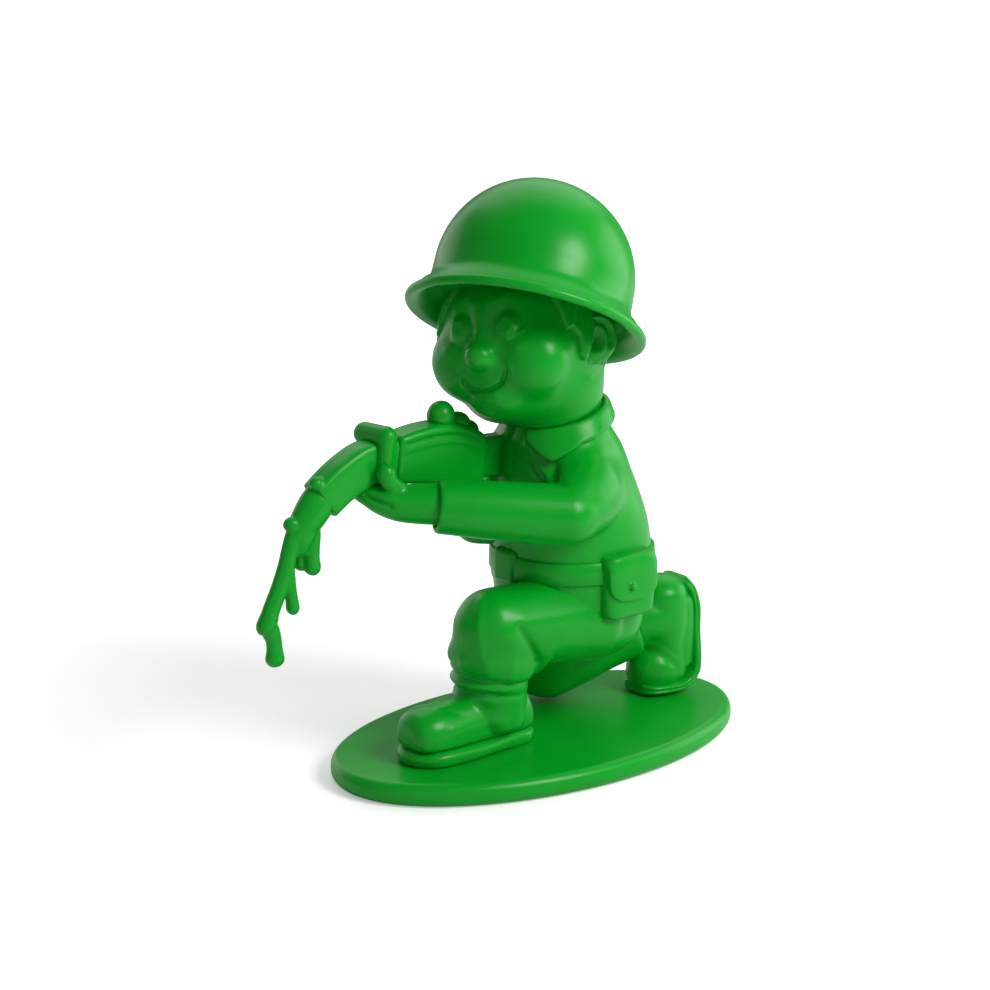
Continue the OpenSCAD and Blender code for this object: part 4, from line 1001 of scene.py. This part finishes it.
class Finish:
    """A material and its nodes."""

    def __init__(self, name):
        self.material = bpy.data.materials.new(name)
        self.material.use_nodes = True
        self.tree = self.material.node_tree
        self.tree.nodes.clear()

    def add(self, kind, settings=None, output=0, **sockets):
        """A node of a kind: its settings, then values or links for sockets by name, or by s and a number."""
        step = self.tree.nodes.new("ShaderNode" + kind)
        for name, value in (settings or {}).items():
            setattr(step, name, value)
        for name, value in sockets.items():
            socket = step.inputs[int(name[1:]) if name[-1].isdigit() else name.replace("_", " ")]
            if isinstance(value, Tone):
                self.tree.links.new(value.socket, socket)
            else:
                socket.default_value = value
        return Tone(self.tree, step.outputs[output]) if step.outputs else None


def green_vinyl():
    f = Finish("green_vinyl")
    place = f.add("TexCoord", output="Object")
    cloud = f.add("TexNoise", Vector=place, Scale=28.0, Detail=3.0, Roughness=0.5)
    fine = f.add("TexNoise", Vector=place, Scale=900.0, Detail=2.0, Roughness=0.55)
    speck = f.add("TexNoise", Vector=place, Scale=240.0, Detail=4.0, Roughness=0.6)
    colour = f.add("Mix", {"data_type": "RGBA"}, "Result", s0=cloud, A=(0.0, 0.305, 0.012, 1),
                   B=(0.0, 0.375, 0.02, 1))
    bump = f.add("Bump", Strength=0.06, Distance=0.0004, Height=fine * 0.4 + speck * 0.6)
    skin = f.add("BsdfPrincipled", Base_Color=colour, Normal=bump, Roughness=0.25 + speck * 0.07 + cloud * 0.05,
                 IOR=1.46, Specular_IOR_Level=0.31, Subsurface_Weight=0.08, Subsurface_Radius=(0.4, 1.0, 0.3),
                 Subsurface_Scale=0.003)
    f.add("OutputMaterial", Surface=skin)
    return f.material


def white_floor():
    """A white paper sweep: it takes the cast shadow, and glows to the camera with painted light that is weaker near
    the figure and white further out, so the floor is painted darker round the figure.
    """
    f = Finish("white_floor")
    paper = f.add("BsdfDiffuse", Color=(0.86, 0.86, 0.86, 1))
    far = f.add("VectorMath", {"operation": "LENGTH"}, "Value", s0=f.add("TexCoord", output="Object"))
    # Painted light: the camera-only glow grows from 0.36 near the figure to 0.9 far off, which paints the floor
    # darker round the figure.
    rise = f.add("MapRange", {"interpolation_type": "SMOOTHSTEP"}, Value=far, From_Min=0.13, From_Max=0.55,
                 To_Min=0.36, To_Max=0.9)
    seen = f.add("LightPath", output="Is Camera Ray")
    painted_floor_glow = f.add("Emission", Color=(1, 1, 1, 1), Strength=seen * rise)
    f.add("OutputMaterial", Surface=f.add("AddShader", s0=paper, s1=painted_floor_glow))
    return f.material


# The pieces: name, maker, body, the solids that each stands for.

vinyl = green_vinyl()


def clad(solid):
    solid.data.materials.clear()
    solid.data.materials.append(vinyl)


pieces = [
    ("base", make_base, "figure", ["base_plate"]),
    ("left_sole", make_left_sole, "figure", ["left_boot_sole"]),
    ("left_boot_upper", make_left_boot, "figure", ["left_boot"]),
    ("right_sole", make_right_sole, "figure", ["right_boot_sole"]),
    ("right_boot_upper", make_right_boot, "figure", ["right_boot"]),
    ("trousers", make_trousers, "figure", ["left_trouser_leg", "right_trouser_leg", "trouser_seat"]),
    ("jacket_and_sleeves", make_jacket, "figure", ["jacket", "jacket_skirt", "left_sleeve", "right_sleeve"]),
    ("waist_belt", make_belt, "figure", ["belt"]),
    ("buckle", make_buckle, "figure", ["belt_buckle"]),
    ("side_pouch", make_hip_pouch, "figure", ["hip_pouch"]),
    ("side_pouch_flap", make_flap, "figure", ["hip_pouch_flap"]),
    ("small_pouch", make_front_pouch, "figure", ["front_pouch"]),
    ("shirt_collar", make_collar, "figure", ["collar"]),
    ("hand_under_rifle", make_left_hand, "figure", ["left_hand"]),
    ("hand_on_grip", make_right_hand, "figure", ["right_hand"]),
    ("rifle_body", make_receiver, "figure", ["rifle_receiver", "rifle_stock", "rifle_grip"]),
    ("rifle_fore_end", make_guard, "figure", ["rifle_handguard"]),
    ("rifle_ring", make_band, "figure", ["rifle_band"]),
    ("melted_barrel", make_melt, "figure", ["rifle_melt"]),
    ("rifle_rear_sight", make_sight, "figure", ["rifle_sight"]),
    ("face_and_neck", make_head, "head", ["head"]),
    ("ear_left", lambda: make_ear(1), "head", ["left_ear"]),
    ("ear_right", lambda: make_ear(-1), "head", ["right_ear"]),
    ("hair_back", make_hair, "head", ["hair"]),
    ("steel_helmet", make_helmet, "head", ["helmet"]),
]

# Degrees past which an edge stays crisp. All other pieces are soft all over.
crisp = {"base": 40, "left_sole": 50, "waist_belt": 50, "buckle": 40, "steel_helmet": 50}
for name, maker, body, nodes in pieces:
    piece = maker()
    piece.name = name
    piece.data.name = name
    clad(piece)
    only(piece)
    bpy.ops.object.shade_smooth_by_angle(angle=np.radians(crisp.get(name, 180)))
    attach(piece, body)
    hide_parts(*nodes)
clad(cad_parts["neck_pin"])


# Floor, lights and camera

only()
bpy.ops.mesh.primitive_plane_add(size=16)
floor = bpy.context.object
floor.name = "floor"
floor.data.materials.append(white_floor())

world = bpy.data.worlds.new("studio")
bpy.context.scene.world = world
world.use_nodes = True
tree = world.node_tree
sky = tree.nodes["Background"]
sky.inputs["Color"].default_value = (1, 1, 1, 1)
path = tree.nodes.new("ShaderNodeLightPath")
seen = Tone(tree, path.outputs["Is Camera Ray"])
tree.links.new((seen * 0.8 + 0.2).socket, sky.inputs["Strength"])

# The camera's place and directions, and the point that the lamps look at
eye = np.array([0.9672, -0.7866, 0.4480])
ahead = np.array([-0.7581, 0.5985, -0.2588])
right = np.array([0.6196, 0.7849, 0.0])
above = np.array([-0.2031, 0.1604, 0.9659])
middle = np.array([0, 0, 0.12])


def placed(obj, side, up, back, place):
    """Links a lamp or camera in, with its place and turn."""
    bpy.context.collection.objects.link(obj)
    m = Matrix.Identity(4)
    for i in range(3):
        m[i][0], m[i][1], m[i][2], m[i][3] = side[i], up[i], back[i], place[i]
    obj.matrix_world = m


def lamp(name, place, power, w, h):
    """A softbox of a power, width and height, aimed at the figure's middle."""
    data = bpy.data.lights.new(name, "AREA")
    data.shape, data.size, data.size_y, data.energy = "RECTANGLE", w, h, power
    obj = bpy.data.objects.new(name, data)
    back = unit(place - middle)
    side = unit(np.cross(UP, back))
    placed(obj, side, np.cross(back, side), back, place)
    obj.visible_camera = False


lamp("key_softbox", middle - ahead * 0.62 + right * 0.65 + above * 0.46, 7.6, 0.4, 0.44)
lamp("right_softbox", middle + ahead * 0.5 + right * 1.15 + np.array([0, 0, 0.3]), 8.0, 0.9, 1.2)
lamp("left_softbox", middle + ahead * 1.0 - right * 1.0 + np.array([0, 0, 0.3]), 4.5, 1.1, 1.2)
lamp("top_softbox", middle + ahead * 0.9 + np.array([0, 0, 1.2]), 6.4, 1.6, 1.2)
lamp("front_fill", middle - ahead * 1.7 - right * 0.5 - above * 0.2, 4.0, 2.2, 2.2)

camera_data = bpy.data.cameras.new("camera")
camera_data.lens, camera_data.sensor_width = 109.09, 36
camera = bpy.data.objects.new("camera", camera_data)
placed(camera, right, above, -ahead, eye)
bpy.context.scene.camera = camera
bpy.context.scene.view_settings.view_transform = "Standard"
